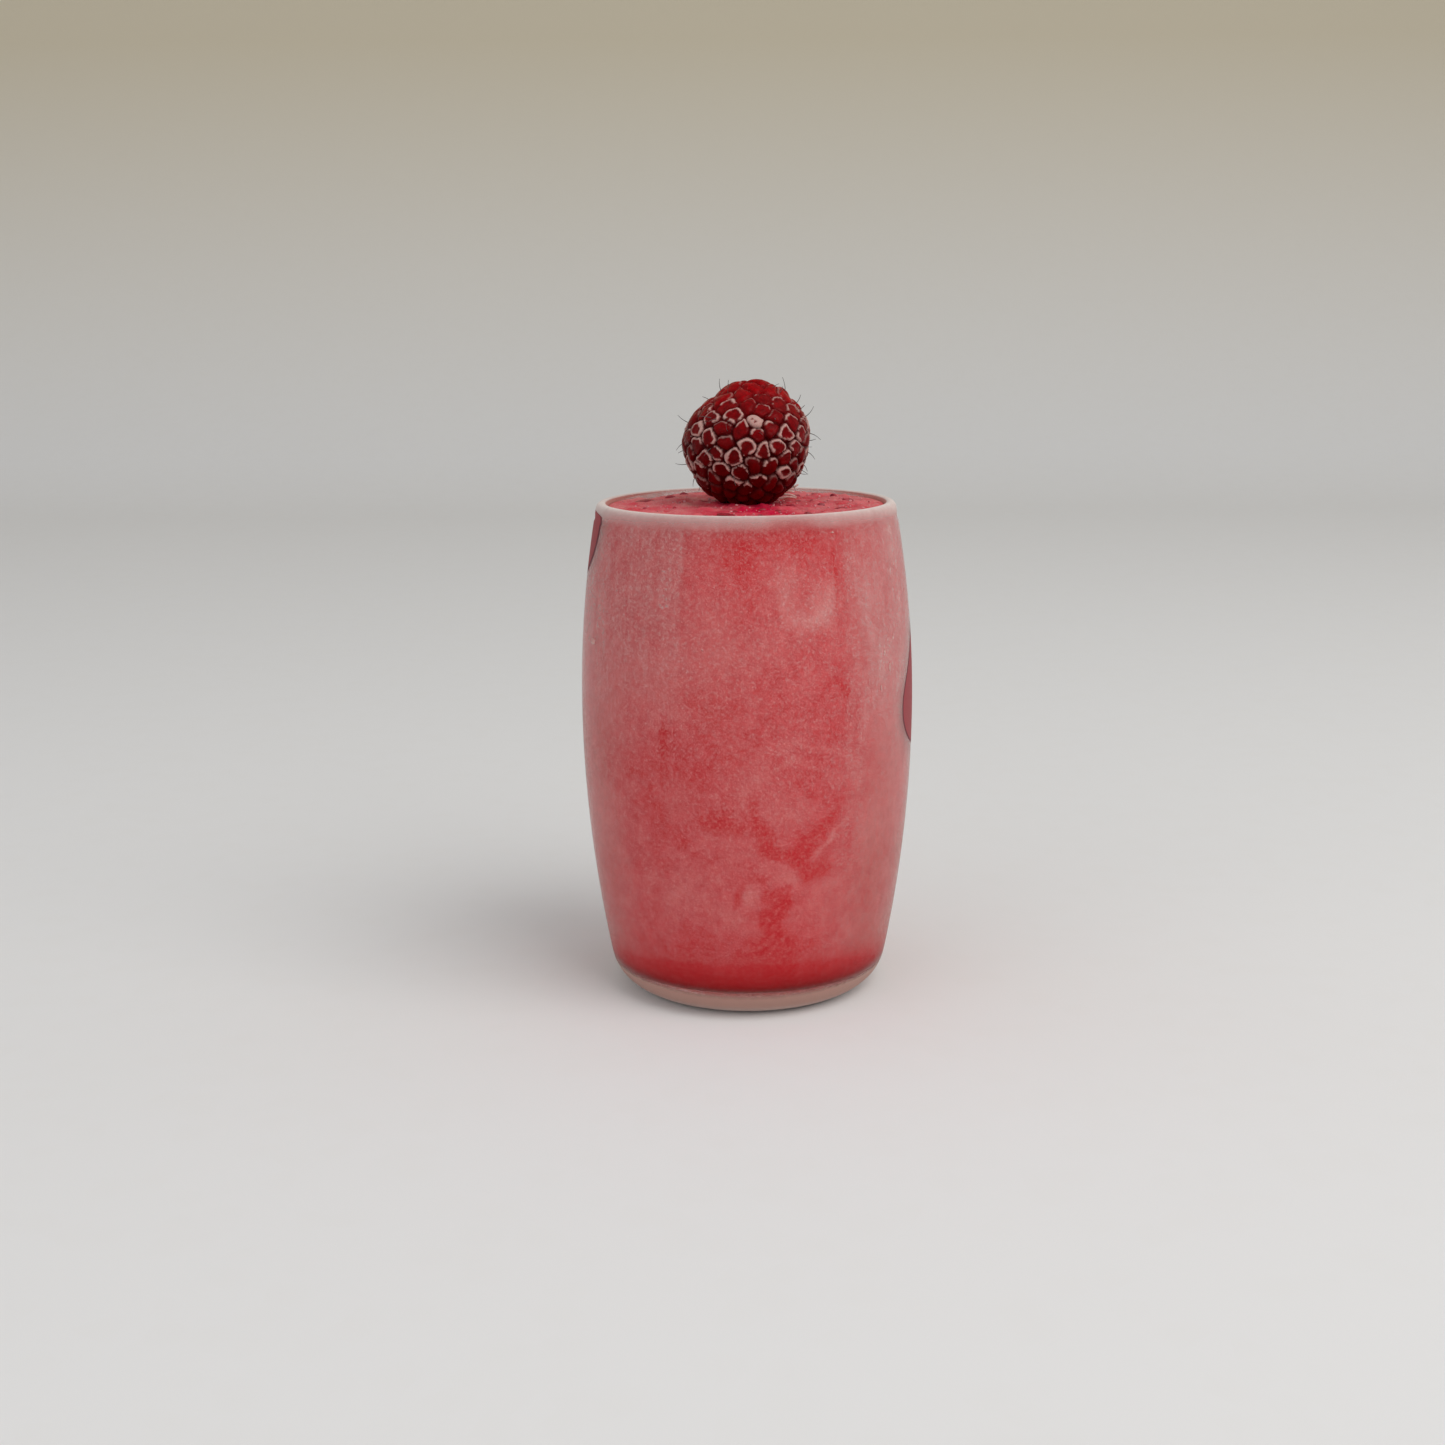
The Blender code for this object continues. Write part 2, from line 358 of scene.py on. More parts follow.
class NodeSketch:
    """Adds nodes to one node tree and links them."""

    def __init__(self, tree: bpy.types.NodeTree) -> None:
        """Keeps the tree that the nodes go to."""
        self.tree = tree

    def add(self, kind: str, inputs: dict | None = None, **settings: object) -> bpy.types.Node:
        """Adds one node.

        Args:
            kind: the node's type name.
            inputs: plain values or sockets for its inputs, by name or number.
            settings: the node's own properties.

        Returns:
            The node.
        """
        node = self.tree.nodes.new(kind)
        for key, value in settings.items():
            setattr(node, key, value)
        self.fill(node, inputs or {})
        return node

    def fill(self, node: bpy.types.Node, values: dict) -> None:
        """Feeds several inputs of a node, by name or number."""
        for key, value in values.items():
            self.feed(node.inputs[key], value)

    def feed(self, socket: bpy.types.NodeSocket, value: object) -> None:
        """Links a socket to an input, or sets the input's plain value.

        Args:
            socket: the input.
            value: a node's output, or a plain value.
        """
        if isinstance(value, bpy.types.NodeSocket):
            self.tree.links.new(value, socket)
        else:
            socket.default_value = value

    def math(self, operation: str, *values: object, clamp: bool = False) -> bpy.types.NodeSocket:
        """A Math node's result."""
        node = self.add("ShaderNodeMath", dict(enumerate(values)), operation=operation, use_clamp=clamp)
        return node.outputs[0]

    def ramp(
        self, value: object, low: float, high: float, to_low: float = 0.0, to_high: float = 1.0
    ) -> bpy.types.NodeSocket:
        """A clamped linear map of a value."""
        inputs = {"Value": value, "From Min": low, "From Max": high, "To Min": to_low, "To Max": to_high}
        return self.add("ShaderNodeMapRange", inputs).outputs["Result"]

    def mix(self, share: object, first: object, second: object) -> bpy.types.NodeSocket:
        """A mix of two colours."""
        inputs = {"Factor": share, "A": first, "B": second}
        return self.add("ShaderNodeMix", inputs, data_type="RGBA").outputs["Result"]

    def blend(self, share: object, first: object, second: object) -> bpy.types.NodeSocket:
        """A mix of two numbers."""
        inputs = {"Factor": share, "A": first, "B": second}
        return self.add("ShaderNodeMix", inputs, data_type="FLOAT").outputs["Result"]

    def attribute(self, name: str) -> bpy.types.NodeSocket:
        """The value that the mesh's points hold under a name."""
        return self.add("ShaderNodeAttribute", attribute_name=name).outputs["Fac"]

    def group(self, tree: bpy.types.NodeTree, **inputs: object) -> bpy.types.Node:
        """Places a node group with its own values, whose names are in lower case."""
        given = {key.title(): value for key, value in inputs.items()}
        return self.add("ShaderNodeGroup", given, node_tree=tree)

    def bump(self, height: bpy.types.NodeSocket, distance: float, strength: float) -> bpy.types.NodeSocket:
        """The normal of a surface with small bumps."""
        inputs = {"Height": height, "Distance": distance, "Strength": strength}
        return self.add("ShaderNodeBump", inputs).outputs["Normal"]


def rgba(colour: Colour) -> tuple[float, float, float, float]:
    """A colour with full alpha."""
    return (*colour, 1.0)


class EffectGroups:
    """The effects that several finishes share, each a node group that is built once."""

    def __init__(self) -> None:
        """Builds every group."""
        self.grain = self.build_grain()
        self.mottle = self.build_mottle()
        self.runs = self.build_runs()
        self.wipe = self.build_wipe()

    @staticmethod
    def begin(
        name: str, inputs: dict[str, float | Colour], outputs: dict[str, str]
    ) -> tuple[NodeSketch, bpy.types.Node, bpy.types.Node]:
        """Starts a group.

        Args:
            name: the group's name.
            inputs: each input's name and default, a number or a colour.
            outputs: each output's name and socket type.

        Returns:
            The sketch, the group's input node and its output node.
        """
        tree = bpy.data.node_groups.new(name, "ShaderNodeTree")
        for key, value in inputs.items():
            is_colour = isinstance(value, tuple)
            kind = "NodeSocketColor" if is_colour else "NodeSocketFloat"
            socket = tree.interface.new_socket(key, in_out="INPUT", socket_type=kind)
            socket.default_value = rgba(value) if is_colour else value
        for key, kind in outputs.items():
            tree.interface.new_socket(key, in_out="OUTPUT", socket_type=kind)
        sketch = NodeSketch(tree)
        return sketch, sketch.add("NodeGroupInput"), sketch.add("NodeGroupOutput")

    def build_grain(self) -> bpy.types.NodeTree:
        """Fine icy grain: a mask of pale specks, a height for bumps and a tone for each grain.

        Returns:
            The group.
        """
        sketch, given, out = self.begin(
            "icy_grain",
            {"Size": 0.0005, "Sparkle": 0.5},
            {"Mask": "NodeSocketFloat", "Height": "NodeSocketFloat", "Tone": "NodeSocketFloat"},
        )
        place = sketch.add("ShaderNodeTexCoord").outputs["Object"]
        scale = sketch.math("DIVIDE", 1.0, given.outputs["Size"])
        crystals = sketch.add("ShaderNodeTexVoronoi", {"Vector": place, "Scale": scale}, feature="F1")
        drift = sketch.add("ShaderNodeTexNoise", {"Vector": place, "Scale": scale, "Detail": 3.0})
        near = sketch.ramp(crystals.outputs["Distance"], 0.2, 0.75, 1.0, 0.0)
        draws = sketch.add("ShaderNodeSeparateColor", {"Color": crystals.outputs["Color"]}).outputs
        chosen = sketch.math("LESS_THAN", draws[0], given.outputs["Sparkle"])
        specks = sketch.math("MULTIPLY", near, chosen)
        sketch.feed(out.inputs["Mask"], specks)
        height = sketch.math("MULTIPLY_ADD", drift.outputs["Fac"], 0.6, sketch.math("MULTIPLY", near, 0.4))
        sketch.feed(out.inputs["Height"], height)
        sketch.feed(out.inputs["Tone"], draws[1])
        return sketch.tree

    def build_mottle(self) -> bpy.types.NodeTree:
        """Cloudy change between two colours.

        Returns:
            The group.
        """
        sketch, given, out = self.begin(
            "soft_mottle",
            {"Size": 0.004, "Amount": 0.5, "Paler": (0.5, 0.2, 0.2), "Deeper": (0.4, 0.05, 0.05)},
            {"Color": "NodeSocketColor", "Share": "NodeSocketFloat"},
        )
        place = sketch.add("ShaderNodeTexCoord").outputs["Object"]
        scale = sketch.math("DIVIDE", 1.0, given.outputs["Size"])
        inputs = {"Vector": place, "Scale": scale, "Detail": 5.0, "Roughness": 0.6, "Distortion": 0.4}
        cloud = sketch.add("ShaderNodeTexNoise", inputs)
        contrast = sketch.ramp(cloud.outputs["Fac"], 0.32, 0.68)
        share = sketch.math("MULTIPLY", contrast, given.outputs["Amount"])
        colour = sketch.mix(share, given.outputs["Paler"], given.outputs["Deeper"])
        sketch.feed(out.inputs["Color"], colour)
        sketch.feed(out.inputs["Share"], share)
        return sketch.tree

    def build_runs(self) -> bpy.types.NodeTree:
        """Upright streaks, as where water has run down.

        Returns:
            The group.
        """
        sketch, given, out = self.begin(
            "upright_runs", {"Width": 0.0008, "Length": 0.012}, {"Share": "NodeSocketFloat"}
        )
        place = sketch.add("ShaderNodeTexCoord").outputs["Object"]
        across = sketch.math("DIVIDE", 1.0, given.outputs["Width"])
        along = sketch.math("DIVIDE", 1.0, given.outputs["Length"])
        stretch = sketch.add("ShaderNodeCombineXYZ", {"X": across, "Y": across, "Z": along}).outputs[0]
        scaled = sketch.add("ShaderNodeVectorMath", {0: place, 1: stretch}, operation="MULTIPLY").outputs[0]
        streaks = sketch.add("ShaderNodeTexNoise", {"Vector": scaled, "Scale": 1.0, "Detail": 2.0})
        sketch.feed(out.inputs["Share"], sketch.ramp(streaks.outputs["Fac"], 0.33, 0.67))
        return sketch.tree

    def build_wipe(self) -> bpy.types.NodeTree:
        """Crisp patches where a smooth field passes a level, and the thin line round them.

        Returns:
            The group.
        """
        sketch, given, out = self.begin(
            "wiped_patch",
            {"Field": 0.0, "Level": 0.42, "Soft": 0.02},
            {"Clear": "NodeSocketFloat", "Edge": "NodeSocketFloat"},
        )
        over = sketch.math("SUBTRACT", given.outputs["Field"], given.outputs["Level"])
        share = sketch.math("DIVIDE", over, given.outputs["Soft"])
        sketch.feed(out.inputs["Clear"], sketch.math("ADD", share, 0.5, clamp=True))
        away = sketch.math("ABSOLUTE", share)
        sketch.feed(out.inputs["Edge"], sketch.ramp(away, 1.0, 2.2, 1.0, 0.0))
        return sketch.tree


def new_material(name: str) -> tuple[bpy.types.Material, NodeSketch, bpy.types.Node]:
    """A material with its Principled shader.

    Args:
        name: the material's name.

    Returns:
        The material, a sketch of its tree and the shader node.
    """
    made = bpy.data.materials.new(name)
    made.use_nodes = True
    return made, NodeSketch(made.node_tree), made.node_tree.nodes["Principled BSDF"]


@dataclass(frozen=True)
class GlassFinish:
    """Clear glass whose outside is roughened by frost, except where a finger has wiped it."""

    tint: Colour = (0.97, 0.965, 0.96)
    blush: Colour = (0.92, 0.55, 0.48)
    mirror: Colour = (0.15, 0.15, 0.15)
    frosted_roughness: float = 0.18
    clear_roughness: float = 0.05
    refraction: float = 1.5

    def build(self, groups: EffectGroups) -> bpy.types.Material:
        """Makes the material, which lets lamps through to what it holds.

        Args:
            groups: the shared effects.

        Returns:
            The material.
        """
        made, sketch, shader = new_material("frosted_glass")
        grain = sketch.group(groups.grain, size=0.35 * MM, sparkle=0.6)
        wiped = sketch.group(groups.wipe, field=sketch.attribute("wiped"))
        covered = sketch.math("SUBTRACT", 1.0, wiped.outputs["Clear"])
        frosted = sketch.math("MULTIPLY", sketch.attribute("frosted"), covered)
        low, high = 0.8 * self.frosted_roughness, 1.2 * self.frosted_roughness
        uneven = sketch.ramp(grain.outputs["Mask"], 0.0, 1.0, low, high)
        rough = sketch.math("MULTIPLY", frosted, uneven)
        sketch.feed(shader.inputs["Roughness"], sketch.math("MAXIMUM", rough, self.clear_roughness))
        plain = {"Base Color": rgba(self.tint), "Specular Tint": rgba(self.mirror)}
        sketch.fill(shader, plain | {"Transmission Weight": 1.0, "IOR": self.refraction})
        light = sketch.add("ShaderNodeLightPath")
        lit = sketch.math("MAXIMUM", light.outputs["Is Shadow Ray"], light.outputs["Is Diffuse Ray"])
        passed = sketch.mix(sketch.attribute("foot"), rgba(self.tint), rgba(self.blush))
        clear = sketch.add("ShaderNodeBsdfTransparent", {"Color": passed})
        mixed = sketch.add("ShaderNodeMixShader", {0: lit, 1: shader.outputs[0], 2: clear.outputs[0]})
        out = made.node_tree.nodes["Material Output"]
        sketch.feed(out.inputs["Surface"], mixed.outputs[0])
        return made


@dataclass(frozen=True)
class FrostFilmFinish:
    """The thin milky film of condensation on the outside of the glass, thicker where it is seen aslant."""

    paler: Colour = (0.80, 0.735, 0.69)
    deeper: Colour = (0.72, 0.63, 0.59)
    # Brown tint of the foot and the inside, also used as painted shade low on the sides.
    brown_tint_and_shade: Colour = (0.44, 0.255, 0.21)
    # Red film: the filling seen above the foot, painted brighter over its shaded lower corner, and a redder
    # smudge on the bead.
    flush: Colour = (0.54, 0.026, 0.030)
    shade: Colour = (0.26, 0.075, 0.065)
    bare: Colour = (0.34, 0.055, 0.064)
    outline: Colour = (0.13, 0.015, 0.026)
    bare_cover: float = 0.88
    outline_cover: float = 0.80
    tone_share: float = 0.62
    roughness: float = 0.85
    sheen: float = 0.08
    mirror: float = 0.15
    limb: float = 1.8
    clot_from: float = 0.85
    clot_to: float = 1.30
    speckle: float = 0.13
    run_share: float = 0.25

    def build(self, groups: EffectGroups) -> bpy.types.Material:
        """Makes the material, whose alpha follows the film's thickness.

        Args:
            groups: the shared effects.

        Returns:
            The material.
        """
        made, sketch, shader = new_material("frost_film")
        colours = {"paler": rgba(self.paler), "deeper": rgba(self.deeper)}
        mottle = sketch.group(groups.mottle, size=3 * MM, amount=0.8, **colours)
        fine = sketch.group(groups.grain, size=0.30 * MM, sparkle=0.5)
        coarse = sketch.group(groups.grain, size=0.62 * MM, sparkle=0.5)
        runs = sketch.group(groups.runs, width=0.9 * MM, length=14 * MM)
        wiped = sketch.group(groups.wipe, field=sketch.attribute("wiped"))
        lively = sketch.math("SUBTRACT", self.tone_share, sketch.attribute("calm"), clamp=True)
        tone = sketch.math("MULTIPLY", fine.outputs["Tone"], lively)
        colour = sketch.mix(tone, mottle.outputs["Color"], rgba(self.shade))
        # Brown tint, and painted shade on the lower sides.
        colour = sketch.mix(sketch.attribute("brown_tint_and_shade"), colour, rgba(self.brown_tint_and_shade))
        # Red above the foot: painted light over the filling's shaded lower corner.
        colour = sketch.mix(sketch.attribute("flush"), colour, rgba(self.flush))
        colour = sketch.mix(wiped.outputs["Clear"], colour, rgba(self.bare))
        colour = sketch.mix(wiped.outputs["Edge"], colour, rgba(self.outline))
        sketch.feed(shader.inputs["Base Color"], colour)

        facing = sketch.add("ShaderNodeLayerWeight", {"Blend": 0.5}).outputs["Facing"]
        aslant = sketch.math("MULTIPLY_ADD", sketch.math("MULTIPLY", facing, facing), self.limb, 1.0)
        clots = sketch.ramp(coarse.outputs["Mask"], 0, 1, self.clot_from, self.clot_to)
        uneven = sketch.math("MULTIPLY", clots, aslant)
        low, high = 1.0 - self.run_share, 1.0 + self.run_share
        uneven = sketch.math("MULTIPLY", sketch.ramp(runs.outputs["Share"], 0, 1, low, high), uneven)
        uneven = sketch.blend(sketch.attribute("calm"), uneven, aslant)
        restless = sketch.math("SUBTRACT", 1.0, sketch.attribute("calm"), clamp=True)
        specks = sketch.math("MULTIPLY_ADD", coarse.outputs["Mask"], 0.5, fine.outputs["Mask"])
        specks = sketch.math("MULTIPLY", sketch.math("MULTIPLY", specks, self.speckle), restless)
        cover = sketch.math("MULTIPLY_ADD", sketch.attribute("veil"), uneven, specks, clamp=True)
        cover = sketch.blend(wiped.outputs["Clear"], cover, self.bare_cover)
        line = sketch.math("MULTIPLY", wiped.outputs["Edge"], self.outline_cover)
        sketch.feed(shader.inputs["Alpha"], sketch.math("MAXIMUM", cover, line))
        plain = {"Roughness": self.roughness, "Sheen Weight": self.sheen, "Specular IOR Level": self.mirror}
        sketch.fill(shader, plain)
        sketch.feed(shader.inputs["Normal"], sketch.bump(fine.outputs["Height"], 0.05 * MM, 0.3))
        return made


@dataclass(frozen=True)
class SorbetFinish:
    """Icy raspberry sorbet, mottled from pale pink to juice red."""

    pink: Colour = (0.62, 0.082, 0.088)
    dusky: Colour = (0.52, 0.036, 0.044)
    red: Colour = (0.55, 0.012, 0.018)
    pale: Colour = (0.68, 0.22, 0.21)
    juice: Colour = (0.58, 0.005, 0.042)
    top_pink: Colour = (0.60, 0.075, 0.105)
    roughness: float = 0.55
    mirror: float = 0.15
    glow: float = 0.2
    spread: Colour = (1.0, 0.25, 0.2)

    def build(self, groups: EffectGroups) -> bpy.types.Material:
        """Makes the material from the redness, pallor and juice that the mesh holds.

        Args:
            groups: the shared effects.

        Returns:
            The material.
        """
        made, sketch, shader = new_material("raspberry_sorbet")
        colours = {"paler": rgba(self.pink), "deeper": rgba(self.dusky)}
        mottle = sketch.group(groups.mottle, size=1.9 * MM, amount=0.9, **colours)
        grain = sketch.group(groups.grain, size=0.40 * MM, sparkle=0.35)
        fine = sketch.group(groups.grain, size=0.20 * MM, sparkle=0.5)
        colour = sketch.mix(sketch.attribute("upper"), mottle.outputs["Color"], rgba(self.top_pink))
        colour = sketch.mix(sketch.attribute("redness"), colour, rgba(self.red))
        colour = sketch.mix(sketch.attribute("pallor"), colour, rgba(self.pale))
        colour = sketch.mix(sketch.attribute("juice"), colour, rgba(self.juice))
        icy = sketch.math("MULTIPLY", grain.outputs["Mask"], 0.14)
        icy = sketch.math("MULTIPLY_ADD", fine.outputs["Mask"], 0.08, icy)
        plain = sketch.math("SUBTRACT", 1.0, sketch.attribute("juice"), clamp=True)
        icy = sketch.math("MULTIPLY", icy, plain)
        sketch.feed(shader.inputs["Base Color"], sketch.mix(icy, colour, rgba(self.pale)))
        sketch.feed(shader.inputs["Roughness"], sketch.ramp(grain.outputs["Mask"], 0, 1, self.roughness, 0.3))
        within = {"Subsurface Weight": self.glow, "Subsurface Radius": self.spread}
        sketch.fill(shader, within | {"Subsurface Scale": 1.2 * MM, "Specular IOR Level": self.mirror})
        rough = sketch.ramp(sketch.attribute("upper"), 0, 1, 0.3, 1.0)
        rough = sketch.math("MULTIPLY", grain.outputs["Height"], rough)
        sketch.feed(shader.inputs["Normal"], sketch.bump(rough, 0.12 * MM, 0.6))
        return made


@dataclass(frozen=True)
class RaspberryFinish:
    """Dark red frozen skin with pale frost where the mesh says so, painted darker in its creases and low down
    and lighter on top.
    """

    deep: Colour = (0.055, 0.0006, 0.0012)
    ripe: Colour = (0.36, 0.0012, 0.0035)
    frost: Colour = (0.52, 0.315, 0.28)
    mirror: float = 0.05
    glow: float = 0.10
    spread: Colour = (1.0, 0.12, 0.10)

    def build(self, groups: EffectGroups) -> bpy.types.Material:
        """Makes the material from the ripeness, with its painted light and shade, and the frost that the mesh
        holds.

        Args:
            groups: the shared effects.

        Returns:
            The material.
        """
        made, sketch, shader = new_material("raspberry_skin")
        colours = {"paler": rgba(self.ripe), "deeper": rgba(tuple(part * 0.35 for part in self.ripe))}
        mottle = sketch.group(groups.mottle, size=0.9 * MM, amount=0.9, **colours)
        grain = sketch.group(groups.grain, size=0.16 * MM, sparkle=0.7)
        # Painted shade and light: the skin runs from its darkest red in the creases and low down to its ripe
        # mottle on top.
        skin = sketch.mix(sketch.attribute("ripeness_and_light"), rgba(self.deep), mottle.outputs["Color"])
        frost = sketch.attribute("frost")
        uneven = sketch.ramp(grain.outputs["Mask"], 0, 1, 0.85, 1.1)
        cover = sketch.math("MULTIPLY", frost, uneven, clamp=True)
        sketch.feed(shader.inputs["Base Color"], sketch.mix(cover, skin, rgba(self.frost)))
        sketch.feed(shader.inputs["Roughness"], sketch.ramp(cover, 0, 1, 0.24, 0.85))
        within = {"Subsurface Weight": self.glow, "Subsurface Radius": self.spread}
        sketch.fill(shader, within | {"Subsurface Scale": 0.8 * MM, "Specular IOR Level": self.mirror})
        sketch.feed(shader.inputs["Normal"], sketch.bump(grain.outputs["Height"], 0.04 * MM, 0.4))
        return made


@dataclass(frozen=True)
class CrumbFinish:
    """Small frozen pieces of one colour: raspberry bits, ice crystals, strands or dew drops."""

    name: str
    paler: Colour
    deeper: Colour
    roughness: float
    glow: float = 0.2

    def build(self, groups: EffectGroups) -> bpy.types.Material:
        """Makes the material.

        Args:
            groups: the shared effects.

        Returns:
            The material.
        """
        made, sketch, shader = new_material(self.name)
        colours = {"paler": rgba(self.paler), "deeper": rgba(self.deeper)}
        mottle = sketch.group(groups.mottle, size=0.7 * MM, amount=1.0, **colours)
        grain = sketch.group(groups.grain, size=0.2 * MM, sparkle=0.5)
        sketch.feed(shader.inputs["Base Color"], mottle.outputs["Color"])
        sketch.feed(shader.inputs["Roughness"], sketch.ramp(grain.outputs["Mask"], 0, 1, self.roughness, 0.7))
        sketch.fill(shader, {"Subsurface Weight": self.glow, "Subsurface Scale": 0.5 * MM})
        sketch.feed(shader.inputs["Normal"], sketch.bump(grain.outputs["Height"], 0.04 * MM, 0.5))
        return made


@dataclass(frozen=True)
class HairFinish:
    """The dry grey-brown hairs between the drupelets."""

    paler: Colour = (0.10, 0.085, 0.08)
    deeper: Colour = (0.03, 0.022, 0.02)

    def build(self, groups: EffectGroups) -> bpy.types.Material:
        """Makes the material.

        Args:
            groups: the shared effects.

        Returns:
            The material.
        """
        made, sketch, shader = new_material("raspberry_hair")
        colours = {"paler": rgba(self.paler), "deeper": rgba(self.deeper)}
        mottle = sketch.group(groups.mottle, size=0.8 * MM, amount=1.0, **colours)
        sketch.feed(shader.inputs["Base Color"], mottle.outputs["Color"])
        sketch.feed(shader.inputs["Roughness"], sketch.ramp(mottle.outputs["Share"], 0, 1, 0.45, 0.7))
        return made


@dataclass(frozen=True)
class PaperFinish:
    """Plain matt studio paper, with painted shade making it a little warmer and darker towards the top of the
    backdrop.
    """

    floor: Colour = (0.80, 0.80, 0.80)
    top: Colour = (0.625, 0.56, 0.43)
    change_from: float = 0.02
    change_to: float = 0.30

    def build(self, groups: EffectGroups) -> bpy.types.Material:
        """Makes the material.

        Args:
            groups: the shared effects.

        Returns:
            The material.
        """
        made, sketch, shader = new_material("studio_paper")
        place = sketch.add("ShaderNodeTexCoord").outputs["Object"]
        height = sketch.add("ShaderNodeSeparateXYZ", {0: place}).outputs["Z"]
        # Painted shade: the paper turns to the darker, warmer top colour higher up.
        share = sketch.ramp(height, self.change_from, self.change_to)
        plain = sketch.mix(share, rgba(self.floor), rgba(self.top))
        fibres = sketch.group(groups.grain, size=6 * MM, sparkle=0.5)
        tone = sketch.math("MULTIPLY", fibres.outputs["Mask"], 0.02)
        sketch.feed(shader.inputs["Base Color"], sketch.mix(tone, plain, rgba(self.top)))
        sketch.fill(shader, {"Roughness": 0.9, "Specular IOR Level": 0.1})
        return made


def place_piece(
    piece: bpy.types.Object, material: bpy.types.Material, node: str | None = None
) -> bpy.types.Object:
    """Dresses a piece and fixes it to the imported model.

    Args:
        piece: the piece.
        material: its finish.
        node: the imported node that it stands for, if any.

    Returns:
        The piece.
    """
    piece.data.materials.clear()
    piece.data.materials.append(material)
    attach(piece, BODY)
    if node:
        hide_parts(node)
    return piece


@dataclass
class Tumbler:
    """The barrel-shaped glass, with its frost film."""

    height: float
    belly_radius: float
    belly_height: float = 49.3 * MM
    taper_above: float = 2.75
    taper_below: float = 2.29
    wall: float = 2.1 * MM
    floor: float = 4.55 * MM
    foot_round: float = 7.3 * MM
    floor_round: float = 5.2 * MM
    lip_round: float = 1.15 * MM
    groove_drop: float = 2.5 * MM
    groove_depth: float = 0.17 * MM
    groove_half_width: float = 0.6 * MM
    film_gap: float = 0.02 * MM
    film_end: float = 81.6 * MM
    columns: int = 288
    film_columns: int = 360
    foot_steps: int = 16
    side_steps: int = 150
    corner_steps: int = 12
    inner_steps: int = 40
    lip_steps: int = 14
    thin_film: float = 0.030
    bead_film: float = 0.52
    inner_film: float = 0.55
    foot_film: float = 0.86
    film_thickens: Span = (12 * MM, 52 * MM)
    bead_base: Span = (2.45 * MM, 1.95 * MM)
    bead_height: float = 2.3 * MM
    smudge_turn: float = 16
    smudge_half: float = 9.0
    foot_edge: Span = (3.6 * MM, 5.4 * MM)
    flush_rise: Span = (4.9 * MM, 6.4 * MM)
    flush_fall: Span = (6.6 * MM, 13.0 * MM)
    stain_edge: Span = (4.0 * MM, 7.0 * MM)
    grain_thickens: Span = (24 * MM, 52 * MM)
    wiped: tuple[Mark, ...] = (
        Mark(-93, 80.6, 12.0, 9.6, 1.0),
        Mark(91, 54.5, 8.0, 10.2, 1.0),
        Mark(82, 49.9, 7.8, 5.6, 1.0),
    )
    thicker: tuple[Mark | Smear | Swirl, ...] = (
        Smear(-92, -23.8, 58, 92, 0.075, 5.0, 0.7, 8, 62, -1.9),
        Smear(-29.0, -23.4, 60, 86, 0.045, 1.5, 0.5, 5),
        Mark(-39, 66, 7, 9, 0.03),
        Mark(-30.6, 70.5, 0.6, 9, 0.05),
        Mark(-62, 57, 9, 14, 0.02),
        Smear(34.5, 95, 40, 92, 0.047, 1.2, 6.0, 8),
        Smear(46, 95, 52, 92, 0.047, 6.0, 6.0, 10),
        Smear(61, 66, 58, 92, 0.03, 2.0, 2.0, 6),
        Mark(45, 66, 1.0, 11, 0.06),
        Mark(51, 58, 0.8, 8, 0.05),
        Mark(39, 75, 2.0, 5, 0.05),
        Mark(41, 48, 0.9, 9, 0.05, lean=8),
        Swirl(21, 70.4, 3.9, 3.7, 100, 420, 1.0, 0.06),
        Mark(25, 68.5, 1.5, 1.5, 0.08),
        Mark(23.4, 71.8, 0.8, 1.6, 0.07, lean=20),
        Swirl(17, 39.4, 10.6, 6.9, -5, 150, 0.9, 0.02),
        Mark(29.5, 31.4, 0.30, 5.0, 0.07, lean=52),
        Mark(0.3, 22.6, 1.0, 1.3, 0.06),
        Smear(110, 250, 10, 92, 0.06, 20.0, 20.0, 12),
    )
    # Painted shade: browner, thicker film low on the left and right sides.
    painted_limb_shade: tuple[Smear, ...] = (
        Smear(-110, -52, 4, 52, 0.085, 10.0, 9.0, 8),
        Smear(40, 110, 4, 46, 0.07, 9.0, 10.0, 9),
        Smear(27, 110, 6, 30, 0.035, 7.0, 10.0, 7),
    )
    drops: tuple[tuple[float, float, float, float], ...] = (
        (-65.6, 61.8, 0.75, 0.55), (52.5, 60.6, 0.22, 0.62), (55.5, 58.0, 0.26, 0.80),
        (50.0, 55.0, 0.20, 0.50), (58.5, 62.6, 0.20, 0.42), (-15.2, 62.9, 0.14, 0.16),
        (31.5, 80.6, 0.30, 0.16),
    )
    thinner: tuple[Mark, ...] = (
        Mark(33.6, 75, 0.35, 7.5, 0.05, lean=-3),
        Mark(-8, 78, 4.5, 2.8, 0.02),
        Mark(20, 79, 6.5, 2.2, 0.025),
        Mark(1, 73, 4.0, 5.0, 0.018, lean=-30),
    )

    def outer(self, heights: np.ndarray | float) -> np.ndarray:
        """The outside radius.

        Args:
            heights: one height or more.

        Returns:
            The radius at each height.
        """
        heights = np.asarray(heights, float)
        taper = np.where(heights > self.belly_height, self.taper_above, self.taper_below)
        return self.belly_radius - taper * (heights - self.belly_height) ** 2

    def grooved(self, heights: np.ndarray | float) -> np.ndarray:
        """The outside radius with the shallow groove under the rim's bead.

        Args:
            heights: one height or more.

        Returns:
            The radius at each height.
        """
        heights = np.asarray(heights, float)
        off = np.abs(heights - (self.height - self.groove_drop)) / self.groove_half_width
        dip = self.groove_depth * 0.5 * (1 + np.cos(np.pi * np.clip(off, 0, 1)))
        return self.outer(heights) - dip

    def inner(self, heights: np.ndarray | float) -> np.ndarray:
        """The inside radius at each height above the rounded corner of the floor."""
        return self.outer(heights) - self.wall

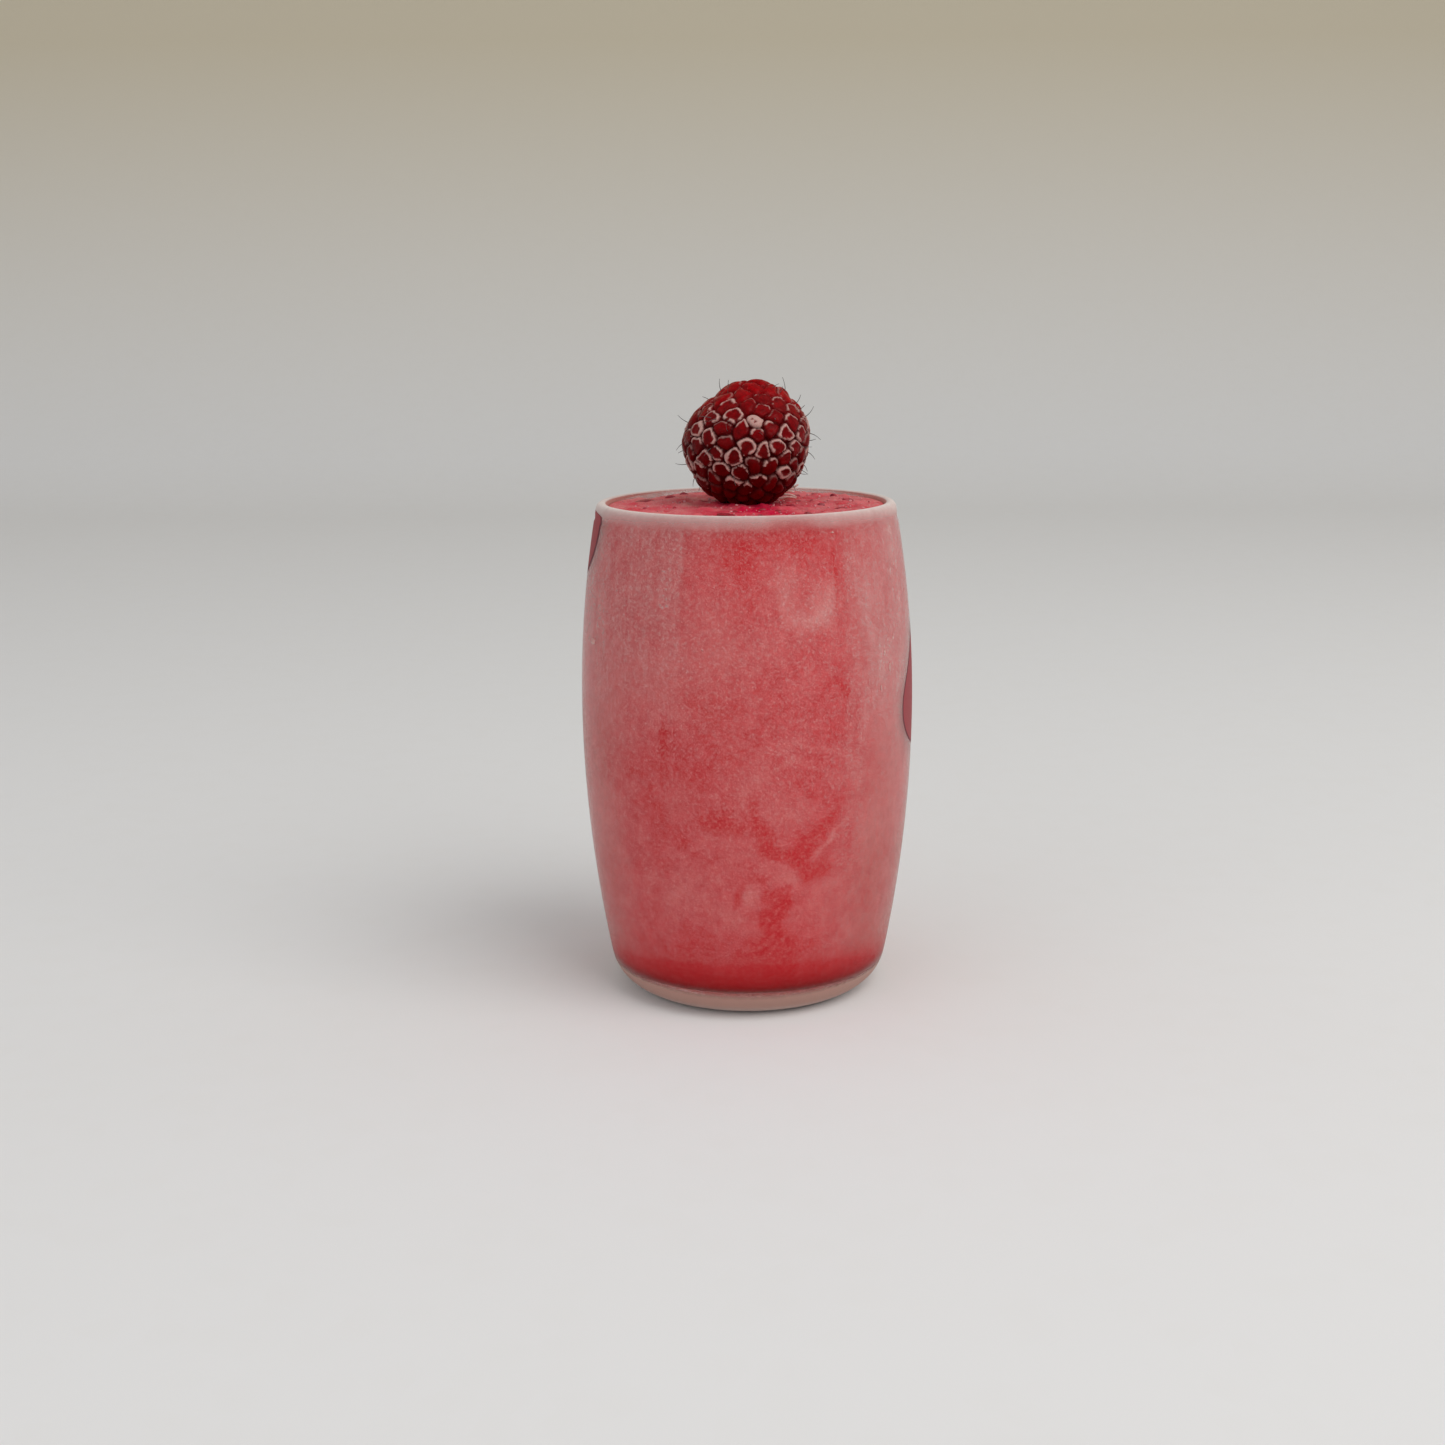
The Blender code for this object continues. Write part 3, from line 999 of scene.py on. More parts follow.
    def corner(self, low: float, rounding: float, inset: float, steps: int) -> Profile:
        """The rounding from a flat bottom up to the side, which it meets without a kink.

        Args:
            low: height of the flat bottom.
            rounding: radius of the rounding.
            inset: how far the side lies inside the outside of the glass.
            steps: pieces that the arc is cut into.

        Returns:
            The points as (radius, height), from the bottom up.
        """
        lean = 0.0
        for _ in range(8):
            meeting = low + rounding * (1 - math.sin(lean))
            lean = math.atan(2 * self.taper_below * (self.belly_height - meeting))
        centre = float(self.outer(meeting)) - inset - rounding * math.cos(lean)
        return arc((centre, low + rounding), (rounding, rounding), -90, -math.degrees(lean), steps)

    def outside_curve(self) -> Profile:
        """The outside, from the edge of the flat base over the foot to the base of the lip.

        Returns:
            The points as (radius, height).
        """
        foot = self.corner(0.0, self.foot_round, 0.0, self.foot_steps)
        heights = np.linspace(foot[-1][1], self.height - self.lip_round, self.side_steps + 1)[1:]
        return [*foot, *zip(self.grooved(heights).tolist(), heights.tolist())]

    def inner_corner(self, reach: float) -> Profile:
        """The rounding inside, from the floor up to the wall, moved into the glass by reach."""
        inset = self.wall - reach
        return self.corner(self.floor - reach, self.floor_round + reach, inset, self.corner_steps)

    def inner_side(self, heights: np.ndarray, reach: float = 0.0) -> Profile:
        """The wall inside at some heights, moved into the glass by reach."""
        return list(zip((self.inner(heights) + reach).tolist(), heights.tolist()))

    def lip_curve(self) -> Profile:
        """The rounded lip, from outside to inside.

        Returns:
            The points as (radius, height).
        """
        base = self.height - self.lip_round
        centre = float(self.outer(base)) - self.wall / 2
        return arc((centre, base), (self.wall / 2, self.lip_round), 0, 180, self.lip_steps)[1:]

    def turns_of(self, points: np.ndarray) -> np.ndarray:
        """Each point's angle round the glass in degrees, 0 at the front."""
        return np.degrees(np.arctan2(points[:, 0], -points[:, 1]))

    def total(self, marks: Sequence[Mark | Smear | Swirl], points: np.ndarray) -> np.ndarray:
        """The summed strength of some marks at each point."""
        turns, heights = self.turns_of(points), points[:, 2] / MM
        return sum(mark.on(turns, heights, self.belly_radius / MM) for mark in marks)

    def wiped_field(self, points: np.ndarray) -> np.ndarray:
        """The summed strength of the wiped patches, none of which reaches the rim's bead."""
        below = 1 - smooth_step(self.height - 1.5 * MM, self.height - 0.8 * MM, points[:, 2])
        return self.total(self.wiped, points) * below

    def mist(self, points: np.ndarray, ragged: np.ndarray, cloud: np.ndarray) -> np.ndarray:
        """The film on the upright wall, before its rim and its foot.

        Args:
            points: the film's points.
            ragged: the same points moved a little, which makes the edges of marks uneven.
            cloud: slow noise at the points.

        Returns:
            The film's alpha seen squarely.
        """
        streaks = SmoothNoise(22).at(points, (1.3 * MM, 1.3 * MM, 16 * MM))
        veil = self.thin_film * (1 + 0.35 * cloud + 0.2 * streaks)
        veil += self.total(self.thicker, ragged) * (1 + 0.3 * cloud + 0.25 * streaks)
        veil -= self.total(self.thinner, ragged)
        veil *= 0.20 + 0.80 * smooth_step(*self.film_thickens, points[:, 2])
        return np.clip(veil, 0.008, 1.0)

    def calmness(self, points: np.ndarray, bead: np.ndarray, foot: np.ndarray) -> np.ndarray:
        """How little grain the film has: least on the rim's bead and the foot, less low down and aside.

        Args:
            points: the film's points.
            bead: 1 on the rim's bead.
            foot: 1 on the foot.

        Returns:
            1 at each point with no grain, 0 at each with all of it.
        """
        heights, turns = points[:, 2], self.turns_of(points)
        behind = smooth_step(110, 155, np.abs(turns))
        right = smooth_step(20, 45, turns) * (1 - behind)
        speckled = smooth_step(*self.grain_thickens, heights + 14 * MM * right)
        aside = 0.42 * smooth_step(32, 46, turns) + 0.18 * smooth_step(-22, -34, turns)
        aside = aside * (1 - behind) + 0.25 * behind
        return np.maximum(np.maximum(0.9 * bead, foot), np.maximum(0.45 * (1 - speckled), aside))

    def film_fields(self, points: np.ndarray, inside: np.ndarray) -> Fields:
        """The film's values at its points.

        Args:
            points: the film's points.
            inside: which of them lie inside the glass.

        Returns:
            veil, the film's alpha seen squarely, stain, how brown it is, with painted shade low on the sides,
            flush, how red it is from the filling behind it, as painted light over the filling's shaded base,
            wiped, the patches, and calm, how little grain it has.
        """
        heights, turns = points[:, 2], self.turns_of(points)
        cloud = SmoothNoise(21).layered(points, 9 * MM, octaves=4)
        ragged = points + 0.5 * MM * np.stack([SmoothNoise(23).layered(points, 2.5 * MM)] * 3, axis=1)
        veil = self.mist(points, ragged, cloud)

        # The bead of the rim, milky at its top, with a redder smudge at the right of the front
        smudge = np.exp(-(((turns - self.smudge_turn) / self.smudge_half) ** 4))
        bead = smooth_step(*(self.height - drop for drop in self.bead_base), heights) * ~inside
        top = np.clip((heights - self.height + self.bead_height) / self.bead_height, 0, 1)
        milky = self.bead_film * (0.28 + 0.72 * top + 0.06 * cloud) * (1 - 0.75 * smudge * (1 - top))
        milky *= 1 - 0.15 * np.sin(np.radians(turns)) ** 2
        veil = veil * (1 - bead) + bead * milky
        veil = np.where(inside, self.inner_film * (1.0 + 0.2 * cloud), veil)
        # Painted shade: the film is browner and thicker low on the sides.
        painted_limb_shade = np.where(inside, 0.0, self.total(self.painted_limb_shade, ragged))
        veil += painted_limb_shade * (1 + 0.3 * cloud)

        # The pale foot, and above it red film where the filling's base shows through, painted light over the
        # filling's shaded lower corner
        foot = 1 - smooth_step(*self.foot_edge, heights)
        flush = between(heights, self.flush_rise, self.flush_fall)
        flush *= 0.25 + 0.75 * np.cos(np.radians(turns)) ** 2
        veil = np.where(inside, veil, veil * (1 - foot) + foot * self.foot_film + 0.24 * flush)
        flush = np.maximum(np.clip(2.4 * flush, 0, 1), bead * (0.04 + 0.14 * smudge))

        # Brown tint on the foot, the bead and the inside, and painted shade on the lower sides.
        low = 1 - smooth_step(*self.stain_edge, heights)
        brown_tint_and_shade = low * (0.45 + 0.55 * smooth_step(0, 2.4 * MM, heights))
        brown_tint_and_shade = np.maximum(brown_tint_and_shade, np.maximum(0.10 * bead, np.clip(8 * painted_limb_shade, 0, 0.8)))
        return {
            "veil": np.clip(veil, 0.0, 0.95),
            "brown_tint_and_shade": np.where(inside, 1.0, brown_tint_and_shade),
            "flush": np.where(inside, 0.30, flush),
            "wiped": np.where(inside, 0.0, self.wiped_field(points)),
            "calm": np.where(inside, 0.6, self.calmness(points, bead, foot)),
        }

    def build_glass(self) -> bpy.types.Object:
        """The glass itself, a closed fine mesh.

        Returns:
            The piece.
        """
        outside = [(0.0, 0.0), *self.outside_curve()]
        corner = self.inner_corner(0.0)[::-1]
        heights = np.linspace(self.height - self.lip_round, corner[0][1], self.inner_steps + 1)[1:-1]
        within = [*self.inner_side(heights), *corner, (0.0, self.floor)]
        grid = TurnedGrid([*outside, *self.lip_curve(), *within], self.columns)
        frosted = (grid.rows <= len(outside) + self.lip_steps // 2).astype(float)
        low = 1 - smooth_step(1.0 * MM, 7.0 * MM, grid.points[:, 2])
        wiped = self.wiped_field(grid.points) * frosted
        return grid.build("glass_wall", {"frosted": frosted, "wiped": wiped, "foot": low})

    def build_film(self) -> bpy.types.Object:
        """The film of frost, a thin sheet just off the glass from the foot over the lip to the sorbet.

        Returns:
            The piece.
        """
        outside = [*self.outside_curve(), *self.lip_curve()]
        heights = np.linspace(self.height - self.lip_round, self.film_end, 6)[1:]
        profile = np.array([*outside, *self.inner_side(heights)])
        along = np.gradient(profile, axis=0)
        off = np.stack([along[:, 1], -along[:, 0]], axis=1)
        profile += self.film_gap * off / np.linalg.norm(off, axis=1)[:, None]
        grid = TurnedGrid(profile[1:].tolist(), self.film_columns)
        inside = grid.rows > len(outside) - self.lip_steps // 2
        return grid.build("frost_film", self.film_fields(grid.points, inside))

    def build_drops(self) -> bpy.types.Object:
        """The few small drops that stand on the outside of the glass.

        Returns:
            The piece.
        """
        bm = bmesh.new()
        for turn, height, half_width, half_height in self.drops:
            radius = float(self.grooved(height * MM)) + 0.03 * MM
            angle = math.radians(turn)
            place = Vector((radius * math.sin(angle), -radius * math.cos(angle), height * MM))
            size = Vector((half_width, 0.55 * half_width, half_height)) * MM
            ball = bmesh.ops.create_icosphere(bm, subdivisions=4, radius=1.0)["verts"]
            for vert in ball:
                vert.co.x *= 1 - 0.25 * vert.co.z
            placed = Matrix.LocRotScale(place, Euler((0, 0, angle)), size)
            bmesh.ops.transform(bm, matrix=placed, verts=ball)
        return finished_lumps("dew_drops", bm)

    def build(self, groups: EffectGroups) -> list[bpy.types.Object]:
        """Builds and dresses the glass, its film of frost and its drops.

        Args:
            groups: the shared effects.

        Returns:
            The pieces.
        """
        drop_finish = CrumbFinish("dew_drop", (0.66, 0.40, 0.36), (0.36, 0.10, 0.10), 0.12)
        return [
            place_piece(self.build_glass(), GlassFinish().build(groups), "glass"),
            place_piece(self.build_film(), FrostFilmFinish().build(groups)),
            place_piece(self.build_drops(), drop_finish.build(groups)),
        ]


def arc(
    centre: tuple[float, float], radii: tuple[float, float], start: float, end: float, steps: int
) -> Profile:
    """Points on an ellipse's arc in the profile plane.

    Args:
        centre: radius and height of its centre.
        radii: its half-axes.
        start: first angle in degrees from the outward side.
        end: last angle in degrees.
        steps: pieces that the arc is cut into.

    Returns:
        The points as (radius, height).
    """
    turns = np.radians(np.linspace(start, end, steps + 1))
    radial = centre[0] + radii[0] * np.cos(turns)
    upright = centre[1] + radii[1] * np.sin(turns)
    return list(zip(radial.tolist(), upright.tolist()))


def tubes(
    name: str, spines: Sequence[np.ndarray], radii: Sequence[np.ndarray], sides: int = 6
) -> bpy.types.Object:
    """Makes closed thin tubes along some curves.

    Args:
        name: the piece's name.
        spines: rows of x, y, z along each curve.
        radii: the tube's radius at each row of each curve.
        sides: points round a tube.

    Returns:
        The object.
    """
    points: list[np.ndarray] = []
    faces: list[tuple[int, ...]] = []
    turns = np.arange(sides)[:, None] * math.tau / sides
    for spine, thick in zip(spines, radii):
        chord = spine[-1] - spine[0]
        across = np.cross(chord, (0.31, 0.17, 0.94))
        across /= np.linalg.norm(across)
        first = len(points) * sides
        for centre, along, radius in zip(spine, np.gradient(spine, axis=0), thick):
            beside = np.cross(along, across)
            beside /= np.linalg.norm(beside)
            points.append(centre + radius * (np.cos(turns) * across + np.sin(turns) * beside))
        for joint, turn in product(range(len(spine) - 1), range(sides)):
            a = first + joint * sides + turn
            b = first + joint * sides + (turn + 1) % sides
            faces.append((a, b, b + sides, a + sides))
        faces.append(tuple(first + turn for turn in reversed(range(sides))))
        faces.append(tuple(first + (len(spine) - 1) * sides + turn for turn in range(sides)))
    return mesh_object(name, np.concatenate(points), faces)


@dataclass
class SkinPoints:
    """The points of the raspberry's skin before they are raised.

    ways are unit vectors, owner the drupelets' numbers, depth how deep inside a drupelet a point lies,
    hollow and crown how far it lies in the hollow and its rise there. band is 1 where drupelets are
    frosted, has where they are frosted each way, marked where they are noted, wide a random width for
    each drupelet, grainy fine noise, and crown_side 1 towards the top.
    """

    ways: np.ndarray
    owner: np.ndarray
    depth: np.ndarray
    hollow: np.ndarray
    crown: np.ndarray
    band: np.ndarray
    has: dict[Drupelet, np.ndarray]
    marked: np.ndarray
    wide: np.ndarray
    grainy: np.ndarray
    crown_side: np.ndarray


@dataclass
class Raspberry:
    """The frozen raspberry: an egg of drupelets with a shallow hollow on top.

    noted gives drupelets across the front by how they are frosted. Each place is across and up in radii
    of the raspberry, seen from the front and from seen_from degrees above. outline_hairs gives hairs
    round the outline by their angle in degrees from the right-hand side, their length in millimetres
    and their curl.
    """

    centre: Vector = field(default_factory=lambda: Vector((0.1, 0.5, 93.8)) * MM)
    radius: float = 10.8 * MM
    up: float = 9.6 * MM
    down: float = 11.7 * MM
    shoulder_slope: float = 0.07
    top_lean: float = 0.12
    drupelets: int = 150
    seed: int = 5
    jitter: float = 0.045
    crowding: float = 0.20
    crowded_side: Vector = field(default_factory=lambda: Vector((0.2, -0.5, -0.85)).normalized())
    crease_depth: float = 1.05 * MM
    hollow_side: Vector = field(default_factory=lambda: Vector((0.09, 0.27, 0.96)).normalized())
    hollow_angle: float = math.radians(20.0)
    hollow_fade: float = math.radians(9.0)
    hollow_depth: float = 3.8 * MM
    crown_rise: float = 0.4 * MM
    fineness: int = 7
    warp: float = 0.035
    near: int = 7
    crease_sharpness: float = 8.0
    pillow: float = 2.1
    frosted_rise: Span = (-0.86, -0.66)
    frosted_fall: Span = (0.34, 0.50)
    crown_from: Span = (0.30, 0.70)
    ring_from: float = 0.15
    ring_to: float = 0.375
    dimple_depth: float = 0.42 * MM
    frost_height: float = 0.12 * MM
    hairs: int = 44
    hair_length: tuple[float, float] = (1.0 * MM, 1.9 * MM)
    hair_radius: tuple[float, float] = (0.06 * MM, 0.08 * MM)
    seen_from: float = 12.0
    noted: tuple[tuple[Drupelet, tuple[tuple[float, float], ...]], ...] = (
        (
            Drupelet.RING,
            (
                (-0.3, 0.24), (-0.66, 0.22), (-0.59, -0.12), (-0.8, 0.09), (-0.45, -0.34),
                (-0.24, -0.43), (0.04, -0.26), (0.51, -0.27), (0.61, -0.06), (0.77, -0.27),
                (0.26, -0.36), (-0.12, -0.65), (0.6, -0.62), (0.87, 0.02), (-0.68, -0.41),
            ),
        ),
        (
            # Pale arcs along the upper edge: frost, and on the drupelets high on the berry painted highlights
            # too.
            Drupelet.ARC,
            (
                (0.38, 0.06), (-0.1, 0.0), (-0.79, -0.2), (0.12, -0.08), (0.6, -0.41), (-0.38, -0.6),
                (0.32, -0.55), (0.18, -0.75), (-0.04, -0.86), (-0.22, -0.78), (0.78, 0.34),
                (0.74, 0.16), (0.91, 0.17), (0.19, 0.38), (-0.34, 0.50), (0.33, 0.60), (0.60, 0.46),
                (0.05, 0.66), (-0.52, 0.44), (-0.73, -0.55),
            ),
        ),
        (
            Drupelet.CLEAN,
            (
                (0.41, 0.2), (-0.43, 0.03), (-0.37, -0.2), (0.15, -0.53), (-0.05, 0.44),
            ),
        ),
        (Drupelet.FILLED, ((0.12, 0.11),)),
    )
    outline_hairs: tuple[tuple[float, float, float], ...] = (
        (123, 1.9, -0.5), (137, 1.1, 0.4), (115, 1.0, -0.6), (165, 1.9, -0.4),
        (184, 1.2, 0.9), (191, 0.9, 0.3), (203, 1.8, -0.5), (217, 1.2, 0.9),
        (226, 0.9, 0.5), (52, 2.2, 0.9), (36, 1.5, 0.5), (29, 0.8, 0.3),
        (20, 1.9, 0.6), (4, 1.8, -0.7), (-3, 0.9, 0.4), (-13, 1.4, -0.7),
        (-25, 1.1, -0.8), (-34, 1.1, 0.6), (-45, 1.0, -0.5),
    )

    def directions(self) -> np.ndarray:
        """The drupelets' directions, the same as the solid's.

        Returns:
            Unit vectors.
        """
        draw = np.random.default_rng(self.seed)
        golden = math.pi * (3 - math.sqrt(5))
        found = []
        for index in range(self.drupelets):
            level = 1 - (2 * index + 1) / self.drupelets
            flat = math.sqrt(1 - level * level)
            even = Vector((flat * math.cos(golden * index), flat * math.sin(golden * index), level))
            moved = even + Vector(draw.normal(0, self.jitter, 3))
            moved = moved.normalized() + self.crowding * self.crowded_side
            found.append(moved.normalized())
        return np.array(found)

    def egg_radius(self, ways: np.ndarray) -> np.ndarray:
        """How far the drupelets' crests lie from the centre.

        Args:
            ways: unit vectors.

        Returns:
            The distance along each.
        """
        pole = np.where(ways[:, 2] > 0, self.up, self.down)
        across = ways[:, 0] ** 2 + ways[:, 1] ** 2
        slope = np.where(ways[:, 2] > 0, self.shoulder_slope * 4 * across * ways[:, 2] ** 2, 0.0)
        return (1 - slope) / np.sqrt(across / self.radius**2 + (ways[:, 2] / pole) ** 2)

    def in_hollow(self, ways: np.ndarray) -> tuple[np.ndarray, np.ndarray]:
        """The hollow on top and the crown round it.

        Args:
            ways: unit vectors.

        Returns:
            How far each lies in the hollow, from 0 to 1, and its rise at the crown.
        """
        off = np.arccos(np.clip(ways @ np.array(self.hollow_side), -1, 1))
        inside = smooth_step(-0.5, 0.5, (self.hollow_angle - off) / self.hollow_fade)
        rim = self.hollow_angle + self.hollow_fade
        crown = self.crown_rise * np.exp(-(((off - rim) / self.hollow_fade) ** 2))
        return inside, crown

    def cells(self, ways: np.ndarray) -> tuple[np.ndarray, np.ndarray]:
        """Which drupelet each direction belongs to, and how deep inside it lies.

        Args:
            ways: unit vectors.

        Returns:
            The drupelet's number, and a depth from 0 in a crease to 1 at the crest.
        """
        seeds = self.directions()
        drift = [SmoothNoise(seed).layered(ways, 0.16, octaves=2) for seed in (61, 62, 63)]
        ways = ways + self.warp * np.stack(drift, axis=1)
        near_seeds = np.argsort(-(seeds @ seeds.T), axis=1)[:, 1 : self.near]
        spacing = np.linalg.norm(seeds[:, None] - seeds[near_seeds], axis=2)
        half_size = spacing.mean(axis=1) / 2
        order = np.argpartition(-(ways @ seeds.T), self.near, axis=1)[:, : self.near]
        closeness = np.take_along_axis(ways @ seeds.T, order, axis=1)
        order = np.take_along_axis(order, np.argsort(-closeness, axis=1), axis=1)
        own = seeds[order[:, 0]]
        sharp = self.crease_sharpness
        total = np.zeros(len(ways))
        for rank in range(1, self.near):
            other = seeds[order[:, rank]]
            across = own - other
            edge = (ways * across).sum(axis=1) / np.linalg.norm(across, axis=1)
            total += np.exp(-sharp * np.maximum(edge, 0.0) / half_size[order[:, 0]])
        depth = -np.log(total) / sharp
        return order[:, 0], np.clip((depth + 0.035) / 0.81, 0, 1)

    def styles(self, seeds: np.ndarray) -> tuple[list[Drupelet], np.ndarray]:
        """How each drupelet is frosted: some as noted across the front, the rest at random.

        Args:
            seeds: unit vectors to the drupelets.

        Returns:
            One style for each drupelet, and which of them are noted.
        """
        draw = np.random.default_rng(self.seed + 1)
        kinds = (Drupelet.RING, Drupelet.ARC, Drupelet.CLEAN)
        chosen = [kinds[index] for index in draw.choice(3, len(seeds), p=(0.52, 0.28, 0.20))]
        marked = np.zeros(len(seeds), bool)
        tilt = math.radians(self.seen_from)
        for style, across, up in [(style, *place) for style, places in self.noted for place in places]:
            towards = math.sqrt(1 - across**2 - up**2)
            front = towards * math.cos(tilt) - up * math.sin(tilt)
            rise = towards * math.sin(tilt) + up * math.cos(tilt)
            nearest = int(np.argmax(seeds @ np.array((across, -front, rise))))
            chosen[nearest] = style
            marked[nearest] = True
        return chosen, marked

    def skin_points(self, ways: np.ndarray) -> SkinPoints:
        """What the skin's points have in common for its shape, frost, ripeness and painted light.

        Args:
            ways: unit vectors.

        Returns:
            The points.
        """
        owner, depth = self.cells(ways)
        hollow, crown = self.in_hollow(ways)
        seeds = self.directions()
        styles, marked = self.styles(seeds)
        wide = np.random.default_rng(self.seed + 3).uniform(-1, 1, len(seeds))[owner]
        level = seeds[:, 2] + 0.35 * seeds[:, 1]
        band = np.where(marked, 1.0, between(level, self.frosted_rise, self.frosted_fall))[owner]
        has = {style: np.array([other is style for other in styles])[owner] for style in Drupelet}
        grainy = SmoothNoise(31).layered(ways, 0.07, octaves=3)
        crown_side = smooth_step(*self.crown_from, ways[:, 2])
        return SkinPoints(
            ways, owner, depth, hollow, crown, band, has, marked[owner], wide, grainy, crown_side
        )

    def frosting(self, skin: SkinPoints) -> tuple[np.ndarray, np.ndarray, np.ndarray]:
        """Frost, in a ring inside each drupelet's edge, whole or only round its upper side.

        Args:
            skin: the skin's points.

        Returns:
            The depth at which each point's ring ends, how thick its ring is and how frosted it looks, painted
            highlights along the top drupelets' upper edges included.
        """
        has, grainy, wide = skin.has, skin.grainy, skin.wide
        upward = (skin.ways - self.directions()[skin.owner])[:, 2] * 8.0
        ring_from = self.ring_from + 0.04 * grainy
        ring_to = self.ring_to + 0.08 * wide + 0.10 * grainy + 0.03 * skin.marked
        ring_to = np.where(has[Drupelet.FILLED], 0.64 + 0.25 * grainy, ring_to - 0.14 * skin.crown_side)
        ring = between(skin.depth, (ring_from - 0.04, ring_from + 0.04), (ring_to - 0.05, ring_to + 0.05))
        reach_round = 0.38 + 0.25 * wide + 0.38 * upward + 0.46 * grainy + 0.18 * skin.marked
        reach_round = np.where(has[Drupelet.ARC], 0.10 + 0.55 * upward + 0.30 * grainy, reach_round)
        reach_round = np.where(has[Drupelet.FILLED], 0.9 + 0.2 * grainy, reach_round)
        strength = smooth_step(0.22, 0.38, reach_round) * ~has[Drupelet.CLEAN]
        thick = ring * strength * skin.band

        # A thinner pale line along the upper edges of the drupelets without a ring: frost low down, and
        # towards the top a painted highlight
        thin_frost_and_highlight = between(skin.depth, (0.12, 0.18), (0.24, 0.34))
        thin_frost_and_highlight *= smooth_step(0.15, 0.5, upward + 0.5 * grainy) * smooth_step(-0.75, -0.3, skin.ways[:, 2])
        bare = 1 - skin.band * ~has[Drupelet.CLEAN]
        line = 0.55 * (1 - smooth_step(0.30, 0.55, skin.ways[:, 2])) + 0.42 * skin.crown_side
        return ring_to, thick, np.clip(thick + line * thin_frost_and_highlight * bare, 0, 1) * (1 - skin.hollow)

    def raised(self, skin: SkinPoints, ring_to: np.ndarray, thick: np.ndarray) -> np.ndarray:
        """Domes between creases, sunken in the middle where they have a ring.

        Args:
            skin: the skin's points.
            ring_to: the depth at which each point's ring ends.
            thick: how thick its ring is.

        Returns:
            Rows of x, y, z.
        """
        dome = (1 - (1 - skin.depth) ** self.pillow) ** (1 / self.pillow)
        sunken = skin.band * ~skin.has[Drupelet.CLEAN] * (0.8 + 0.3 * skin.wide)
        dimple = smooth_step(ring_to - 0.15, np.minimum(ring_to + 0.35, 1.0), skin.depth)
        dimple = self.dimple_depth * dimple * sunken
        crease = self.crease_depth * (1 - dome) * (1 - 0.7 * skin.hollow) * (1 - 0.3 * skin.crown_side)
        frost = self.frost_height * thick + 0.02 * MM * skin.grainy
        reach = self.egg_radius(skin.ways) + skin.crown - crease - dimple + frost
        points = skin.ways * (reach - self.hollow_depth * skin.hollow)[:, None]
        points[:, 0] += self.top_lean * np.maximum(0.0, points[:, 2])
        return points + np.array(self.centre)

    def ripeness_and_light(self, skin: SkinPoints) -> np.ndarray:
        """How ripe the skin looks, with painted light: painted shade makes it deeper red low down and in the
        creases, it is deeper among the frosted drupelets, and painted light makes it brighter on top and to
        the right.

        Args:
            skin: the skin's points.

        Returns:
            0 at each point that is deep red, 1 at each that is brightest.
        """
        # Painted light and shade: brighter towards the top and the right, darker low down and in the creases.
        lit = smooth_step(-0.85, 0.75, skin.ways[:, 2] + 0.15 * skin.ways[:, 0])
        least = 0.65 * smooth_step(0.10, 0.65, skin.ways[:, 2])
        open_up = least + (1 - least) * smooth_step(0.0, 0.55, skin.depth)
        found = (0.27 + 0.73 * lit) * open_up * (1 - 0.7 * skin.hollow) * (1 - 0.40 * skin.band)
        return np.clip(found + 0.08 * skin.grainy, 0, 1)

    def build_skin(self) -> bpy.types.Object:
        """The skin, a fine mesh with frost rings on its drupelets.

        Returns:
            The piece.
        """
        bm = bmesh.new()
        bmesh.ops.create_icosphere(bm, subdivisions=self.fineness, radius=1.0)
        ways = np.array([vert.co.normalized() for vert in bm.verts])
        faces = [[vert.index for vert in face.verts] for face in bm.faces]
        bm.free()
        skin = self.skin_points(ways)
        ring_to, thick, frost = self.frosting(skin)
        # frost also carries painted highlights along the upper edges of the top drupelets.
        fields = {"frost": frost, "ripeness_and_light": self.ripeness_and_light(skin)}
        return mesh_object("raspberry_skin", self.raised(skin, ring_to, thick), faces, fields)

    def hair_ways(self) -> list[tuple[np.ndarray, np.ndarray, float, float, float]]:
        """The hairs: those noted round the outline, then some at random.

        Returns:
            Each hair's direction, sideways bend, length, curl and thickness.
        """
        draw = np.random.default_rng(self.seed + 2)
        found = []
        for turn, length, curl in self.outline_hairs:
            angle = math.radians(turn)
            way = np.array((math.cos(angle), draw.uniform(-0.12, 0.12), math.sin(angle)))
            bend = np.array((-math.sin(angle), 0.0, math.cos(angle)))
            found.append((way / np.linalg.norm(way), bend, length * MM, curl, self.hair_radius[1]))
        for _ in range(self.hairs):
            way = draw.normal(0, 1, 3)
            way /= np.linalg.norm(way)
            bend = np.cross(way, draw.normal(0, 1, 3))
            length, curl = draw.uniform(*self.hair_length), draw.uniform(0.3, 1.0)
            thick = draw.uniform(*self.hair_radius)
            bare = way[2] < -0.55 or way @ np.array(self.hollow_side) > 0.85
            if not bare and abs(way[1]) > 0.25:
                found.append((way, bend / np.linalg.norm(bend), length, curl, thick))
        return found

    def build_hairs(self) -> bpy.types.Object:
        """Fine curved hairs that stand out from between the drupelets.

        Returns:
            The piece.
        """
        spines, radii = [], []
        share = np.linspace(0, 1, 8)[:, None]
        for way, bend, length, curl, thick in self.hair_ways():
            root = np.array(self.centre) + way * (self.egg_radius(way[None])[0] - 0.8 * MM)
            root[0] += self.top_lean * max(0.0, root[2] - self.centre.z)
            spine = root + way * (length * (1 - 0.25 * abs(curl)) + 0.8 * MM) * share
            spine += bend * length * curl * share**2.2
            spines.append(spine)
            radii.append(thick * (1 - 0.6 * share[:, 0]))
        return tubes("raspberry_hairs", spines, radii)

    def build(self, groups: EffectGroups) -> list[bpy.types.Object]:
        """Builds and dresses the skin and its hairs.

        Args:
            groups: the shared effects.

        Returns:
            The pieces.
        """
        return [
            place_piece(self.build_skin(), RaspberryFinish().build(groups), "raspberry"),
            place_piece(self.build_hairs(), HairFinish().build(groups)),
        ]


